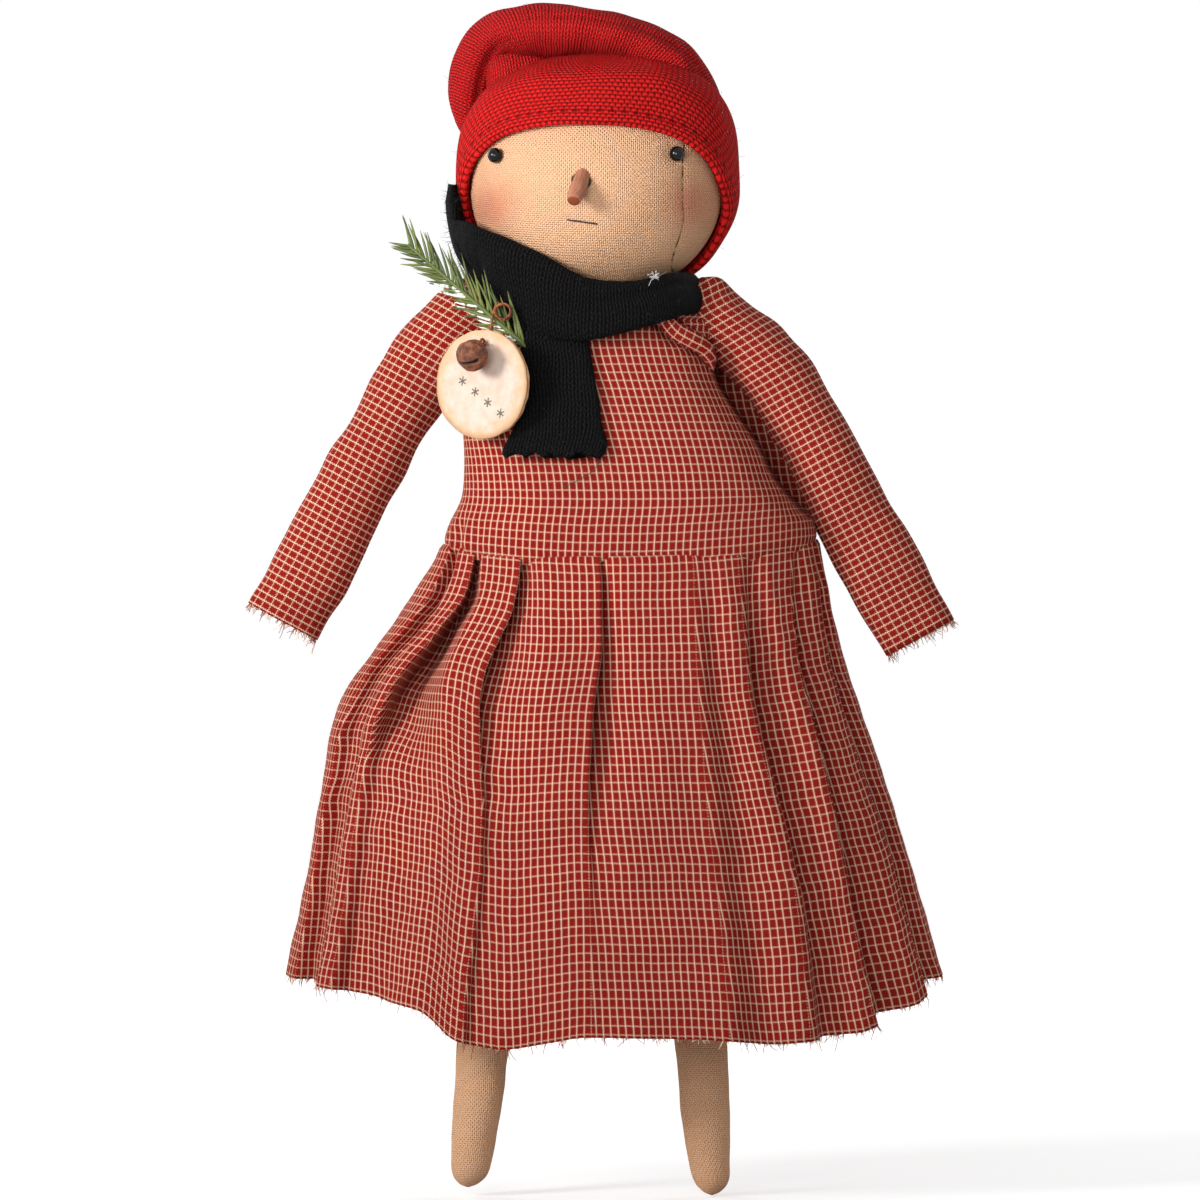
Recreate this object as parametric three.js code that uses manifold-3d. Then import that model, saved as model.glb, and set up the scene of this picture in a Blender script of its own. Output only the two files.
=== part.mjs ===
// A stuffed cloth snowman doll in a checked dress, knitted cap and scarf, with a hanging tag,
// a jingle bell and a spruce sprig wired to the scarf. Millimetres, +Z up, facing -Y.
// Left and right are as seen from the front. Heights are measured from the soles while the
// pieces are made, and the finished doll is then moved so that its origin is on the flat of its back.
import * as THREE from "three";
import { mergeVertices } from "three/addons/utils/BufferGeometryUtils.js";
import Module from "manifold-3d";

const wasm = await Module();
wasm.setup();

// Shared clearances and cloth
const GAP = 0.3; // between pieces that touch
const RUNNING_GAP = 0.6; // between pieces that turn past each other
const SKIN = 1.2; // body cloth with its seam allowance
const DRESS_CLOTH = 1.2;
const SKIRT_CLOTH = 1.5;

// Torso and neck
const HIP_SEAM_HEIGHT = 227;
const NECK_BASE_HEIGHT = 388;
const NECK_LENGTH = 12;
const NECK_TOP_HEIGHT = NECK_BASE_HEIGHT + NECK_LENGTH;
const NECK_RADIUS = 15;
const TORSO_HALF_WIDTH = 53;
const TORSO_HALF_DEPTH = 33;
const DOWEL_RADIUS = 4.75;
const DOWEL_LENGTH = 140;
const DOWEL_IN_HEAD = 52; // how far the dowel stands above the neck base

// Head
const HEAD_HALF_WIDTH = 54;
const HEAD_HALF_DEPTH = 48;
const HEAD_UP = 52; // widest level to crown
const HEAD_DOWN = 46; // widest level to chin
const HEAD_YAW = -8; // degrees, the face looks a little to the left
const HEAD_OPENING_DROP = 41; // widest level down to the neck opening
const SIDE_SEAM_X = 43; // the two side panels begin here
const EYE_RADIUS = 3;
const EYE_AZIMUTH = 46; // degrees each side of the face's middle
const EYE_RISE = 13;
const NOSE_BASE_RADIUS = 3.6;
const NOSE_TIP_RADIUS = 2.7;
const NOSE_LENGTH = 14; // outside the face
const NOSE_ROOT = 8; // inside the face
const NOSE_RISE = 2.5;
const NOSE_DROOP = 42; // degrees below level
const MOUTH_WIDTH = 14;
const MOUTH_DROP = 15.5;
const MOUTH_THREAD_RADIUS = 0.4;

// Cap
const KNIT = 4.4; // thickness of the knitted cap
const CAP_FRONT_RISE = 27; // brim above the head's widest level at the forehead
const CAP_BACK_DROP = 34; // brim below that level behind the head
const TAIL_HALF_DEPTH = 22;
const TAIL_HALF_HEIGHT = 10;
const TAIL_TIP_DROP = 20; // the tail's end above the head's widest level

// Dress
const WAIST_HEIGHT = 272; // at the middle of the front
const WAIST_SIDE_RISE = 7; // the waist seam is higher at the sides
const NECKLINE_DROP = 1; // below the neck base
const NECKLINE_HEIGHT = NECK_BASE_HEIGHT - NECKLINE_DROP;
const NECKLINE_GAP = 0.9; // gathered neckline to the neck
const WAIST_EASE_LEFT = 16;
const WAIST_EASE_RIGHT = 43; // the dress hangs to the right
const NECK_EASE_SIDE = 6;
const WAIST_EASE_FRONT = 14;
const NECK_EASE_FRONT = 6.5;
const BODICE_BACK_DEPTH = 40.7;
const BACK_FLAT_CUT = 1.2;
const BACK_FLAT_HEIGHT = 312;
const ARMHOLE_RADIUS = 9;
const HEM_HEIGHT = 69;
const HEM_SIDE_RISE = 25;
const HEM_HALF_WIDTH = 143;
const HEM_FRONT_DEPTH = 78;
const HEM_BACK_DEPTH = 71;
const HEM_LEAN = 7.7; // the hem's middle is this far to the right of the neck
const PLEAT_DEPTH = 12; // of a full pleat halfway down

// Arms and sleeves
const SHOULDER_DROP = 17; // below the neck base
const SHOULDER_HEIGHT = NECK_BASE_HEIGHT - SHOULDER_DROP;
const ARM_BALL_RADIUS = 14;
const THREAD_RADIUS = 2;
const SHOULDER_REACH = 17; // torso side to the arm's ball
const ARM_SPLAY = 28.6; // degrees from straight down
const SLEEVE_LENGTH = 148;
const SLEEVE_HALF_WIDTH = 16.6;
const SLEEVE_HALF_DEPTH = 14.5;
const HAND_RECESS = 5; // the arm ends this far inside the cuff

// Legs and hips
const HIP_BAND_RADIUS = 2.5;
const HIP_BAND_OVERHANG = 3;
const HIP_X_LEFT = -41;
const HIP_X_RIGHT = 40;
const FOOT_X_LEFT = -55;
const FOOT_X_RIGHT = 49;
const FOOT_HEIGHT_LEFT = 3.4; // the left sole hangs a little higher than the right one
const FOOT_HEIGHT_RIGHT = 0;
const LEG_RADIUS = 12.5;
const ANKLE_RADIUS = 8.5;

// Scarf
const SCARF_EASE = 20; // neck to the middle of the wrap
const SCARF_HALF_THICKNESS = 4.5;
const SCARF_HALF_HEIGHT = 9;
const SCARF_FRONT_DROP = 14; // below the neck base
const SCARF_SIDE_RISE = 9;
const SCARF_TAIL_LENGTH = 53;
const SCARF_TAIL_X = -18;
const SCARF_TAIL_HALF_TOP = 15;
const SCARF_TAIL_HALF_END = 21;
const SCARF_TAIL_THICKNESS = 4.4;
const SCARF_END_RISE = 56; // the tucked end above the wrap's front
const SCARF_END_HALF_DEPTH = 16;

// Tag, bell, sprig and wire
const TAG_RADIUS = 23;
const TAG_DISC = 1;
const TAG_YAW = 33; // degrees, the tag faces a little to the left
const TAG_HOLE_RADIUS = 1.5;
const TAG_HOLE_INSET = 6;
const TAG_HOLE_X = -48;
const TAG_HOLE_DROP = 26.5; // below the neck base
const TAG_HOLE_HEIGHT = NECK_BASE_HEIGHT - TAG_HOLE_DROP;
const TAG_FORWARD = 6; // tag in front of the scarf's tail
const BELL_RADIUS = 6.5;
const BELL_WALL = 0.7;
const BELL_DROOP = 35; // degrees, the bell's mouth looks forward and down
const BELL_SLOT = 1.6;
const BELL_LOOP_RADIUS = 1.9;
const BELL_LOOP_WIRE = 0.5;
const PELLET_RADIUS = 1.8;
const WIRE_RADIUS = 0.45;
const CURL_RADIUS = 3.2;
const CURL_TURNS = 3;
const CURL_PITCH = 1.6;
const CURL_X = -39.5;
const CURL_DROP = 13; // below the neck base
const CURL_HEIGHT = NECK_BASE_HEIGHT - CURL_DROP;
const STEM_RADIUS = 1.5;
const STEM_TIP_RADIUS = 0.7;
const STEM_BASE_X = -28;
const STEM_BASE_DROP = 29; // below the neck base
const STEM_BASE_HEIGHT = NECK_BASE_HEIGHT - STEM_BASE_DROP;
const STEM_TIP_X = -80;
const STEM_RISE = 45;
const STEM_TIP_HEIGHT = STEM_BASE_HEIGHT + STEM_RISE;
const STEM_TIP_BACK = 10; // the tip leans back towards the shoulder
const NEEDLES = 44;
const NEEDLE_LENGTH = 17;
const NEEDLE_RADIUS = 0.8;
const NEEDLE_PITCH = 38; // degrees off the stem

// Facets
const BODY_SIDES = 20;
const HEAD_SIDES = 24;
const LIMB_SIDES = 14;
const SKIRT_ROWS = 7;
const WIRE_SIDES = 6;
const WRAP_STEPS = 28;
const BALL_SIDES = 20;

const { PI, sin, cos, sqrt, max, min } = Math;
const radians = THREE.MathUtils.degToRad;
const lerp = THREE.MathUtils.lerp;
const point = (x, y, z) => new THREE.Vector3(x, y, z);

// Materials, with colours as they show on the doll
const finish = (color, roughness, metalness = 0) =>
  new THREE.MeshStandardMaterial({ color, roughness, metalness });
const linen = finish(0xc59a6d, 0.95);
const fibrefill = finish(0xf2efe8, 1);
const checkedCotton = finish(0x9c3a3a, 0.95);
const redKnit = finish(0xb3141c, 0.95);
const blackKnit = finish(0x121213, 0.95);
const blackBead = finish(0x0a0a0a, 0.12);
const stainedWood = finish(0x8a4d33, 0.7);
const plainWood = finish(0xc9a878, 0.8);
const thread = finish(0x1a1512, 0.9);
const creamCard = finish(0xeadcc0, 0.85);
const rust = finish(0x6b3a26, 0.8, 0.4);
const spruce = finish(0x4f6b34, 0.6);

// Solids

// Joins rings of equal length into one closed surface. A loop of rings closes on itself, and
// otherwise the first and last ring are each closed by a fan.
function loft(rings, loop = false) {
  const sides = rings[0].length;
  const flat = rings.flat();
  const positions = flat.flatMap((p) => [p.x, p.y, p.z]);
  const index = [];
  const spans = loop ? rings.length : rings.length - 1;
  for (let r = 0; r < spans; r++) {
    const low = r * sides;
    const high = ((r + 1) % rings.length) * sides;
    for (let s = 0; s < sides; s++) {
      const t = (s + 1) % sides;
      const [a, b, c, d] = [low + s, low + t, high + t, high + s];
      // Each patch is split along its shorter diagonal, so that nested walls are split alike.
      const fromA = flat[a].distanceToSquared(flat[c]) < flat[b].distanceToSquared(flat[d]) - 1e-6;
      if (fromA) index.push(a, b, c, a, c, d);
      else index.push(a, b, d, b, c, d);
    }
  }
  if (!loop) {
    const last = (rings.length - 1) * sides;
    const ends = [rings[0], rings[rings.length - 1]];
    const hubs = ends.map((ring, e) => {
      const hub = ring.reduce((sum, p) => sum.add(p), point(0, 0, 0)).divideScalar(sides);
      positions.push(hub.x, hub.y, hub.z);
      return rings.length * sides + e;
    });
    for (let s = 0; s < sides; s++) {
      const t = (s + 1) % sides;
      index.push(hubs[0], t, s, hubs[1], last + s, last + t);
    }
  }
  const geometry = new THREE.BufferGeometry();
  geometry.setAttribute("position", new THREE.Float32BufferAttribute(positions, 3));
  geometry.setIndex(index);
  return faceOut(geometry);
}

// Turns a closed surface so that its faces point out.
function faceOut(geometry) {
  const at = geometry.attributes.position;
  const index = geometry.index.array;
  const corner = [0, 1, 2].map(() => new THREE.Vector3());
  let volume = 0;
  for (let i = 0; i < index.length; i += 3) {
    corner.forEach((p, k) => p.fromBufferAttribute(at, index[i + k]));
    volume += corner[0].dot(corner[1].clone().cross(corner[2]));
  }
  if (volume < 0)
    for (let i = 0; i < index.length; i += 3)
      [index[i + 1], index[i + 2]] = [index[i + 2], index[i + 1]];
  return geometry;
}

// A wall between two stacks of rings, open at both ends.
const openShell = (outer, inner) => loft([...outer, ...[...inner].reverse()], true);
// A bag whose stacks of rings run from its closed end to its mouth.
const bag = (outer, inner) => loft([...outer, ...[...inner].reverse()]);

function toSolid(geometry) {
  const bare = geometry.clone();
  bare.deleteAttribute("normal");
  bare.deleteAttribute("uv");
  const merged = mergeVertices(bare, 1e-4);
  return new wasm.Manifold(
    new wasm.Mesh({
      numProp: 3,
      vertProperties: new Float32Array(merged.attributes.position.array),
      triVerts: new Uint32Array(merged.index.array),
    }),
  );
}

function toGeometry(solid) {
  const mesh = solid.getMesh();
  const geometry = new THREE.BufferGeometry();
  geometry.setAttribute("position", new THREE.BufferAttribute(mesh.vertProperties, 3));
  geometry.setIndex(new THREE.BufferAttribute(mesh.triVerts, 1));
  return geometry;
}

const cut = (geometry, ...tools) =>
  toGeometry(tools.reduce((left, tool) => left.subtract(toSolid(tool)), toSolid(geometry)));
const keep = (geometry, tool) => toGeometry(toSolid(geometry).intersect(toSolid(tool)));
const join = (...pieces) => toGeometry(wasm.Manifold.union(pieces.map(toSolid)));
// The largest of the bodies that a cut has left.
const largest = (geometry) =>
  toGeometry(
    toSolid(geometry)
      .decompose()
      .reduce((most, body) => (body.volume() > most.volume() ? body : most)),
  );

// An ellipse of points about a centre, with its own half lengths forward and back along the second axis.
function ellipse(centre, axisU, axisV, halfU, halfFront, halfBack, sides) {
  return Array.from({ length: sides }, (_, s) => {
    const angle = (2 * PI * s) / sides;
    const along = sin(angle) < 0 ? halfFront : halfBack;
    return centre
      .clone()
      .addScaledVector(axisU, halfU * cos(angle))
      .addScaledVector(axisV, along * sin(angle));
  });
}
const X_AXIS = point(1, 0, 0);
const Y_AXIS = point(0, 1, 0);
const Z_AXIS = point(0, 0, 1);
const levelRing = (x, z, halfWidth, front, back, sides = BODY_SIDES) =>
  ellipse(point(x, 0, z), X_AXIS, Y_AXIS, halfWidth, front, back, sides);

// The value at a position in a list of [position, value] stations.
function along(stations, position) {
  const next = stations.findIndex(([at]) => at >= position);
  if (next === -1) return stations[stations.length - 1][1];
  if (next === 0) return stations[0][1];
  const [[a, low], [b, high]] = [stations[next - 1], stations[next]];
  return lerp(low, high, (position - a) / (b - a));
}
const steps = (wanted, from = 0, to = 1) => {
  const count = Math.round(wanted);
  return Array.from({ length: count + 1 }, (_, i) => lerp(from, to, i / count));
};

// A round rod between two points.
function rod(from, to, fromRadius, toRadius = fromRadius, sides = 12) {
  const direction = to.clone().sub(from).normalize();
  const side = (Math.abs(direction.y) > 0.9 ? X_AXIS : Y_AXIS).clone().cross(direction).normalize();
  const up = direction.clone().cross(side);
  return loft([
    ellipse(from, side, up, fromRadius, fromRadius, fromRadius, sides),
    ellipse(to, side, up, toRadius, toRadius, toRadius, sides),
  ]);
}

function ball(centre, radius, width = 16, height = 10) {
  return new THREE.SphereGeometry(radius, width, height).translate(centre.x, centre.y, centre.z);
}

function block(low, high) {
  const size = high.clone().sub(low);
  const middle = low.clone().add(high).multiplyScalar(0.5);
  return new THREE.BoxGeometry(size.x, size.y, size.z).translate(middle.x, middle.y, middle.z);
}

// A tube along points that lie close together.
function tube(path, radius, sides = WIRE_SIDES) {
  const shape = new THREE.Shape();
  shape.absarc(0, 0, radius, 0, 2 * PI);
  const outline = new THREE.Shape(shape.getPoints(sides / 2).slice(0, -1));
  outline.autoClose = true;
  const curve = new THREE.CatmullRomCurve3(path, false, "centripetal");
  return new THREE.ExtrudeGeometry(outline, {
    extrudePath: curve,
    steps: 2 * path.length,
    bevelEnabled: false,
  });
}

const doll = new THREE.Group();
function place(group, name, geometry, material) {
  geometry.computeVertexNormals();
  const mesh = new THREE.Mesh(geometry, material);
  mesh.name = name;
  group.add(mesh);
  return mesh;
}

// Torso: a bag with a flat seam at the hips, full at the belly, drawn in to the neck

const TORSO_WIDTHS = [[0, 0.83], [0.07, 0.94], [0.19, 1], [0.36, 0.98], [0.55, 0.925], [0.73, 0.85]]
  .concat([[0.84, 0.775], [0.91, 0.6], [0.96, 0.36], [1, 0.2]]);
const TORSO_DEPTHS = [[0, 0.076], [0.07, 0.48], [0.19, 0.88], [0.36, 1], [0.55, 1], [0.73, 0.88]]
  .concat([[0.84, 0.73], [0.91, 0.6], [0.96, 0.5], [1, 0.4]]);
const torsoShare = (height) => (height - HIP_SEAM_HEIGHT) / (NECK_BASE_HEIGHT - HIP_SEAM_HEIGHT);
const UPPER_HALF = 0.5;
const torsoSize = (table, full, height) => {
  const share = torsoShare(height);
  return max(full * along(table, share), share > UPPER_HALF ? NECK_RADIUS : 0);
};
const torsoWidth = (height) => torsoSize(TORSO_WIDTHS, TORSO_HALF_WIDTH, height);
const torsoDepth = (height) => torsoSize(TORSO_DEPTHS, TORSO_HALF_DEPTH, height);
const torsoHeights = [
  ...TORSO_WIDTHS.map(([share]) => lerp(HIP_SEAM_HEIGHT, NECK_BASE_HEIGHT, share)),
  NECK_TOP_HEIGHT,
];
const MIN_HALF = 0.6; // nothing in a stack of rings is thinner than this
const torsoRings = (grow, bottom = HIP_SEAM_HEIGHT, top = NECK_TOP_HEIGHT) =>
  torsoHeights
    .map((height) => min(max(height, bottom), top))
    .map((height) => {
      const width = max(torsoWidth(height) + grow, MIN_HALF);
      const depth = max(torsoDepth(height) + grow, MIN_HALF);
      return levelRing(0, height, width, depth, depth);
    });

const stuffingInset = SKIN + GAP;
const seamInset = 2 * SKIN; // the stuffing stays above the closed seam
const dowelTop = NECK_BASE_HEIGHT + DOWEL_IN_HEAD;
const dowelBottom = dowelTop - DOWEL_LENGTH;
const dowelBore = rod(point(0, 0, dowelBottom - GAP), point(0, 0, dowelTop + GAP), DOWEL_RADIUS + GAP);

const torsoSkin = bag(
  torsoRings(0),
  torsoRings(-SKIN).map((ring, r) => (r ? ring : ring.map((p) => p.setZ(HIP_SEAM_HEIGHT + SKIN)))),
);
const torsoFill = loft(
  torsoRings(-stuffingInset)
    .map((ring, r) => (r ? ring : ring.map((p) => p.setZ(HIP_SEAM_HEIGHT + seamInset))))
    .map((ring) => ring.map((p) => p.setZ(min(p.z, NECK_TOP_HEIGHT - GAP)))),
);
place(doll, "torso_skin", torsoSkin, linen);
place(doll, "torso_stuffing", cut(torsoFill, dowelBore), fibrefill);
place(
  doll,
  "neck_dowel",
  rod(point(0, 0, dowelBottom), point(0, 0, dowelTop), DOWEL_RADIUS),
  plainWood,
);

// Head: a centre panel over face and crown with a round panel on each side, stuffed, on the neck

const headHeight = NECK_BASE_HEIGHT - GAP + HEAD_OPENING_DROP;
const head = new THREE.Group();
head.position.z = headHeight;
head.rotation.z = radians(HEAD_YAW);
doll.add(head);

// Rings of the head from the crown down, grown outwards, as far down as the drop below the widest level.
function headRings(grow, drop, halfWidth = HEAD_HALF_WIDTH, halfDepth = HEAD_HALF_DEPTH) {
  const last = Math.acos(-drop / (HEAD_DOWN + grow));
  const first = last / 12;
  return steps(10, first, last).map((angle) => {
    const tall = (cos(angle) > 0 ? HEAD_UP : HEAD_DOWN) + grow;
    const wide = (halfWidth + grow) * sin(angle);
    const deep = (halfDepth + grow) * sin(angle);
    return levelRing(0, tall * cos(angle), wide, deep, deep, HEAD_SIDES);
  });
}
const headSolid = (grow) => loft(headRings(grow, HEAD_OPENING_DROP));
const FAR = 3 * HEAD_HALF_WIDTH;
const sideBlock = (side, gap) =>
  side < 0
    ? block(point(-FAR, -FAR, -FAR), point(-SIDE_SEAM_X - gap, FAR, FAR))
    : block(point(SIDE_SEAM_X + gap, -FAR, -FAR), point(FAR, FAR, FAR));

// A point on the head's surface, by its angle from the face's middle and its height on the head.
function onHead(azimuth, rise, grow = 0) {
  const tall = (rise > 0 ? HEAD_UP : HEAD_DOWN) + grow;
  const share = sqrt(1 - (rise / tall) ** 2);
  const angle = radians(azimuth);
  return point(
    (HEAD_HALF_WIDTH + grow) * share * sin(angle),
    -(HEAD_HALF_DEPTH + grow) * share * cos(angle),
    rise,
  );
}

const noseBase = onHead(0, NOSE_RISE);
const noseLine = point(0, -cos(radians(NOSE_DROOP)), -sin(radians(NOSE_DROOP)));
const noseAt = (distance) => noseBase.clone().addScaledVector(noseLine, distance);
const nosePeg = (grow) =>
  join(
    rod(noseAt(0), noseAt(NOSE_LENGTH + grow), NOSE_BASE_RADIUS + grow, NOSE_TIP_RADIUS + grow),
    rod(noseAt(-NOSE_ROOT - grow), noseAt(GAP), NOSE_BASE_RADIUS + grow),
  );

const headShell = bag(headRings(0, HEAD_OPENING_DROP), headRings(-SKIN, HEAD_OPENING_DROP));
place(
  head,
  "head_centre_panel",
  cut(headShell, sideBlock(-1, -GAP / 2), sideBlock(1, -GAP / 2), nosePeg(GAP)),
  linen,
);
place(head, "head_side_panel_left", keep(headShell, sideBlock(-1, GAP / 2)), linen);
place(head, "head_side_panel_right", keep(headShell, sideBlock(1, GAP / 2)), linen);

const neckSocket = rod(
  point(0, 0, -HEAD_HALF_WIDTH),
  point(0, 0, NECK_TOP_HEIGHT - headHeight + RUNNING_GAP),
  NECK_RADIUS + RUNNING_GAP,
  NECK_RADIUS + RUNNING_GAP,
  BODY_SIDES,
);
const headBore = rod(
  point(0, 0, -HEAD_HALF_WIDTH),
  point(0, 0, dowelTop - headHeight + GAP),
  DOWEL_RADIUS + GAP,
);
const headFill = loft(headRings(-stuffingInset, HEAD_OPENING_DROP - GAP));
place(head, "head_stuffing", cut(headFill, neckSocket, headBore, nosePeg(GAP)), fibrefill);

for (const [name, side] of [["eye_left", -1], ["eye_right", 1]]) {
  const bead = ball(onHead(side * EYE_AZIMUTH, EYE_RISE, EYE_RADIUS / 2), EYE_RADIUS, 12, 8);
  place(head, name, cut(bead, headSolid(GAP)), blackBead);
}
place(head, "nose_peg", nosePeg(0), stainedWood);

const mouthLift = MOUTH_THREAD_RADIUS + GAP;
const mouthSpan = THREE.MathUtils.radToDeg(MOUTH_WIDTH / HEAD_HALF_WIDTH);
const mouthPath = steps(8, -mouthSpan / 2, mouthSpan / 2).map((a) => onHead(a, -MOUTH_DROP, mouthLift));
place(head, "mouth_stitch", cut(tube(mouthPath, MOUTH_THREAD_RADIUS), headSolid(GAP / 2)), thread);

// Cap: a dome drawn down behind the head, with its long end flopped over to the left

const capOuter = loft(headRings(GAP + KNIT, HEAD_OPENING_DROP));
const capRim = HEAD_HALF_DEPTH + GAP + KNIT;
const brimLine = steps(10).map((share) => {
  const sunk = THREE.MathUtils.smoothstep(share, 0, 1);
  return new THREE.Vector2(lerp(-capRim, capRim, share), lerp(CAP_FRONT_RISE, -CAP_BACK_DROP, sunk));
});
const brimSide = new THREE.Shape([
  new THREE.Vector2(-FAR, -FAR),
  new THREE.Vector2(FAR, -FAR),
  new THREE.Vector2(FAR, -CAP_BACK_DROP),
  ...[...brimLine].reverse(),
  new THREE.Vector2(-FAR, CAP_FRONT_RISE),
]);
const belowBrim = new THREE.ExtrudeGeometry(brimSide, { depth: 2 * FAR, bevelEnabled: false })
  .applyMatrix4(new THREE.Matrix4().makeBasis(Y_AXIS, Z_AXIS, X_AXIS))
  .translate(-FAR, 0, 0);

const crown = HEAD_UP + KNIT;
const lobeX = -(HEAD_HALF_WIDTH + TAIL_HALF_HEIGHT / 3);
const tailLine = new THREE.CatmullRomCurve3([
  point(0.72 * HEAD_HALF_WIDTH, 8, 0.68 * crown),
  point(0.42 * HEAD_HALF_WIDTH, 6, crown + 0.3 * TAIL_HALF_HEIGHT),
  point(-0.13 * HEAD_HALF_WIDTH, 4, crown + TAIL_HALF_HEIGHT),
  point(-0.65 * HEAD_HALF_WIDTH, 4, crown + 0.9 * TAIL_HALF_HEIGHT),
  point(lobeX + 4, 5, crown - 0.3 * TAIL_HALF_HEIGHT),
  point(lobeX, 6, 0.5 * (crown + TAIL_TIP_DROP)),
  point(lobeX + 2, 6, TAIL_TIP_DROP),
]);
const TAIL_FILL = 1.9; // the tail lies on the dome, so its inner side is fuller
const TAIL_TAPER = [[0, 0.9], [0.25, 1], [0.5, 0.95], [0.75, 0.8], [0.92, 0.65], [1, 0.3]];
const capTail = loft(
  steps(14).map((t) => {
    const tangent = tailLine.getTangent(t);
    const inward = tangent.clone().cross(Y_AXIS).normalize();
    const size = along(TAIL_TAPER, t);
    const half = size * TAIL_HALF_HEIGHT;
    const inner = TAIL_FILL * half;
    return ellipse(tailLine.getPoint(t), Y_AXIS, inward, size * TAIL_HALF_DEPTH, half, inner, 12);
  }),
);
place(head, "hat", cut(join(capOuter, capTail), headSolid(GAP), belowBrim), redKnit);

// Dress: a loose bodice with a flat back, and a full skirt sewn on at the waist

const bodiceShare = (height) => (height - WAIST_HEIGHT) / (NECKLINE_HEIGHT - WAIST_HEIGHT);
// How much of the waist's ease is left at each share of the way up, on either side and in front.
const LEFT_EASE = [[0, 1], [0.1, 0.45], [0.21, 0.15], [0.9, 0]];
const RIGHT_EASE = [[0, 1], [0.1, 0.89], [0.21, 0.73], [0.33, 0.53]]
  .concat([[0.45, 0.35], [0.6, 0.16], [0.72, 0.04], [0.9, 0]]);
const FRONT_EASE = [[0, 1], [0.1, 0.81], [0.21, 0.62], [0.33, 0.45]]
  .concat([[0.45, 0.3], [0.6, 0.16], [0.72, 0.08], [1, 0]]);
const BACK_FULLNESS = 1; // how much deeper the bodice is behind than in front, up to its full depth
// The bodice is loose at the waist and gathered close round the neck.
const bodiceEase = (table, waist, neck, height) =>
  height < NECKLINE_HEIGHT
    ? lerp(neck, waist, along(table, bodiceShare(height)))
    : DRESS_CLOTH + NECKLINE_GAP;
const bodiceLeft = (height) =>
  torsoWidth(height) + bodiceEase(LEFT_EASE, WAIST_EASE_LEFT, NECK_EASE_SIDE, height);
const bodiceRight = (height) =>
  torsoWidth(height) + bodiceEase(RIGHT_EASE, WAIST_EASE_RIGHT, NECK_EASE_SIDE, height);
const bodiceWidth = (height) => (bodiceLeft(height) + bodiceRight(height)) / 2;
const bodiceLean = (height) => (bodiceRight(height) - bodiceLeft(height)) / 2;
const bodiceFront = (height) =>
  torsoDepth(height) + bodiceEase(FRONT_EASE, WAIST_EASE_FRONT, NECK_EASE_FRONT, height);
const bodiceBack = (height) => min(BODICE_BACK_DEPTH, bodiceFront(height) + BACK_FULLNESS);
const waistLean = bodiceLean(WAIST_HEIGHT);
const waistWidth = bodiceWidth(WAIST_HEIGHT);
// The waist seam's rise at a distance to the side, fading out a third of the way up the bodice.
const waistRise = (x) => WAIST_SIDE_RISE * min(((x - waistLean) / waistWidth) ** 2, 1);
const RISE_FADE = 0.35;
const bodiceRing = (height, grow, sides = HEAD_SIDES) =>
  levelRing(
    bodiceLean(height),
    height,
    bodiceWidth(height) + grow,
    bodiceFront(height) + grow,
    bodiceBack(height) + grow,
    sides,
  ).map((p) => p.setZ(height + waistRise(p.x) * max(1 - bodiceShare(height) / RISE_FADE, 0)));
const bodiceHeights = [0, 0.1, 0.21, 0.33, 0.45, 0.6, 0.72, 0.86, 1].map((share) =>
  lerp(WAIST_HEIGHT, NECKLINE_HEIGHT, share),
);
const bodiceSolid = (grow) => loft(bodiceHeights.map((height) => bodiceRing(height, grow)));
const bodiceShell = openShell(
  bodiceHeights.map((height) => bodiceRing(height, 0)),
  bodiceHeights.map((height) => bodiceRing(height, -DRESS_CLOTH)),
);
const backFlatY = BODICE_BACK_DEPTH - BACK_FLAT_CUT;
const behindBack = block(point(-FAR, backFlatY, 0), point(FAR, FAR, 2 * NECK_TOP_HEIGHT));
const armholes = rod(
  point(-FAR, 0, SHOULDER_HEIGHT),
  point(FAR, 0, SHOULDER_HEIGHT),
  ARMHOLE_RADIUS,
  ARMHOLE_RADIUS,
  BALL_SIDES,
);
place(doll, "bodice", cut(bodiceShell, behindBack, armholes), checkedCotton);

const FLARE = 0.78; // the skirt opens fast below the waist, then hangs
const SETTLE = 0.25; // a pleat's share of its depth right at the seam
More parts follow.
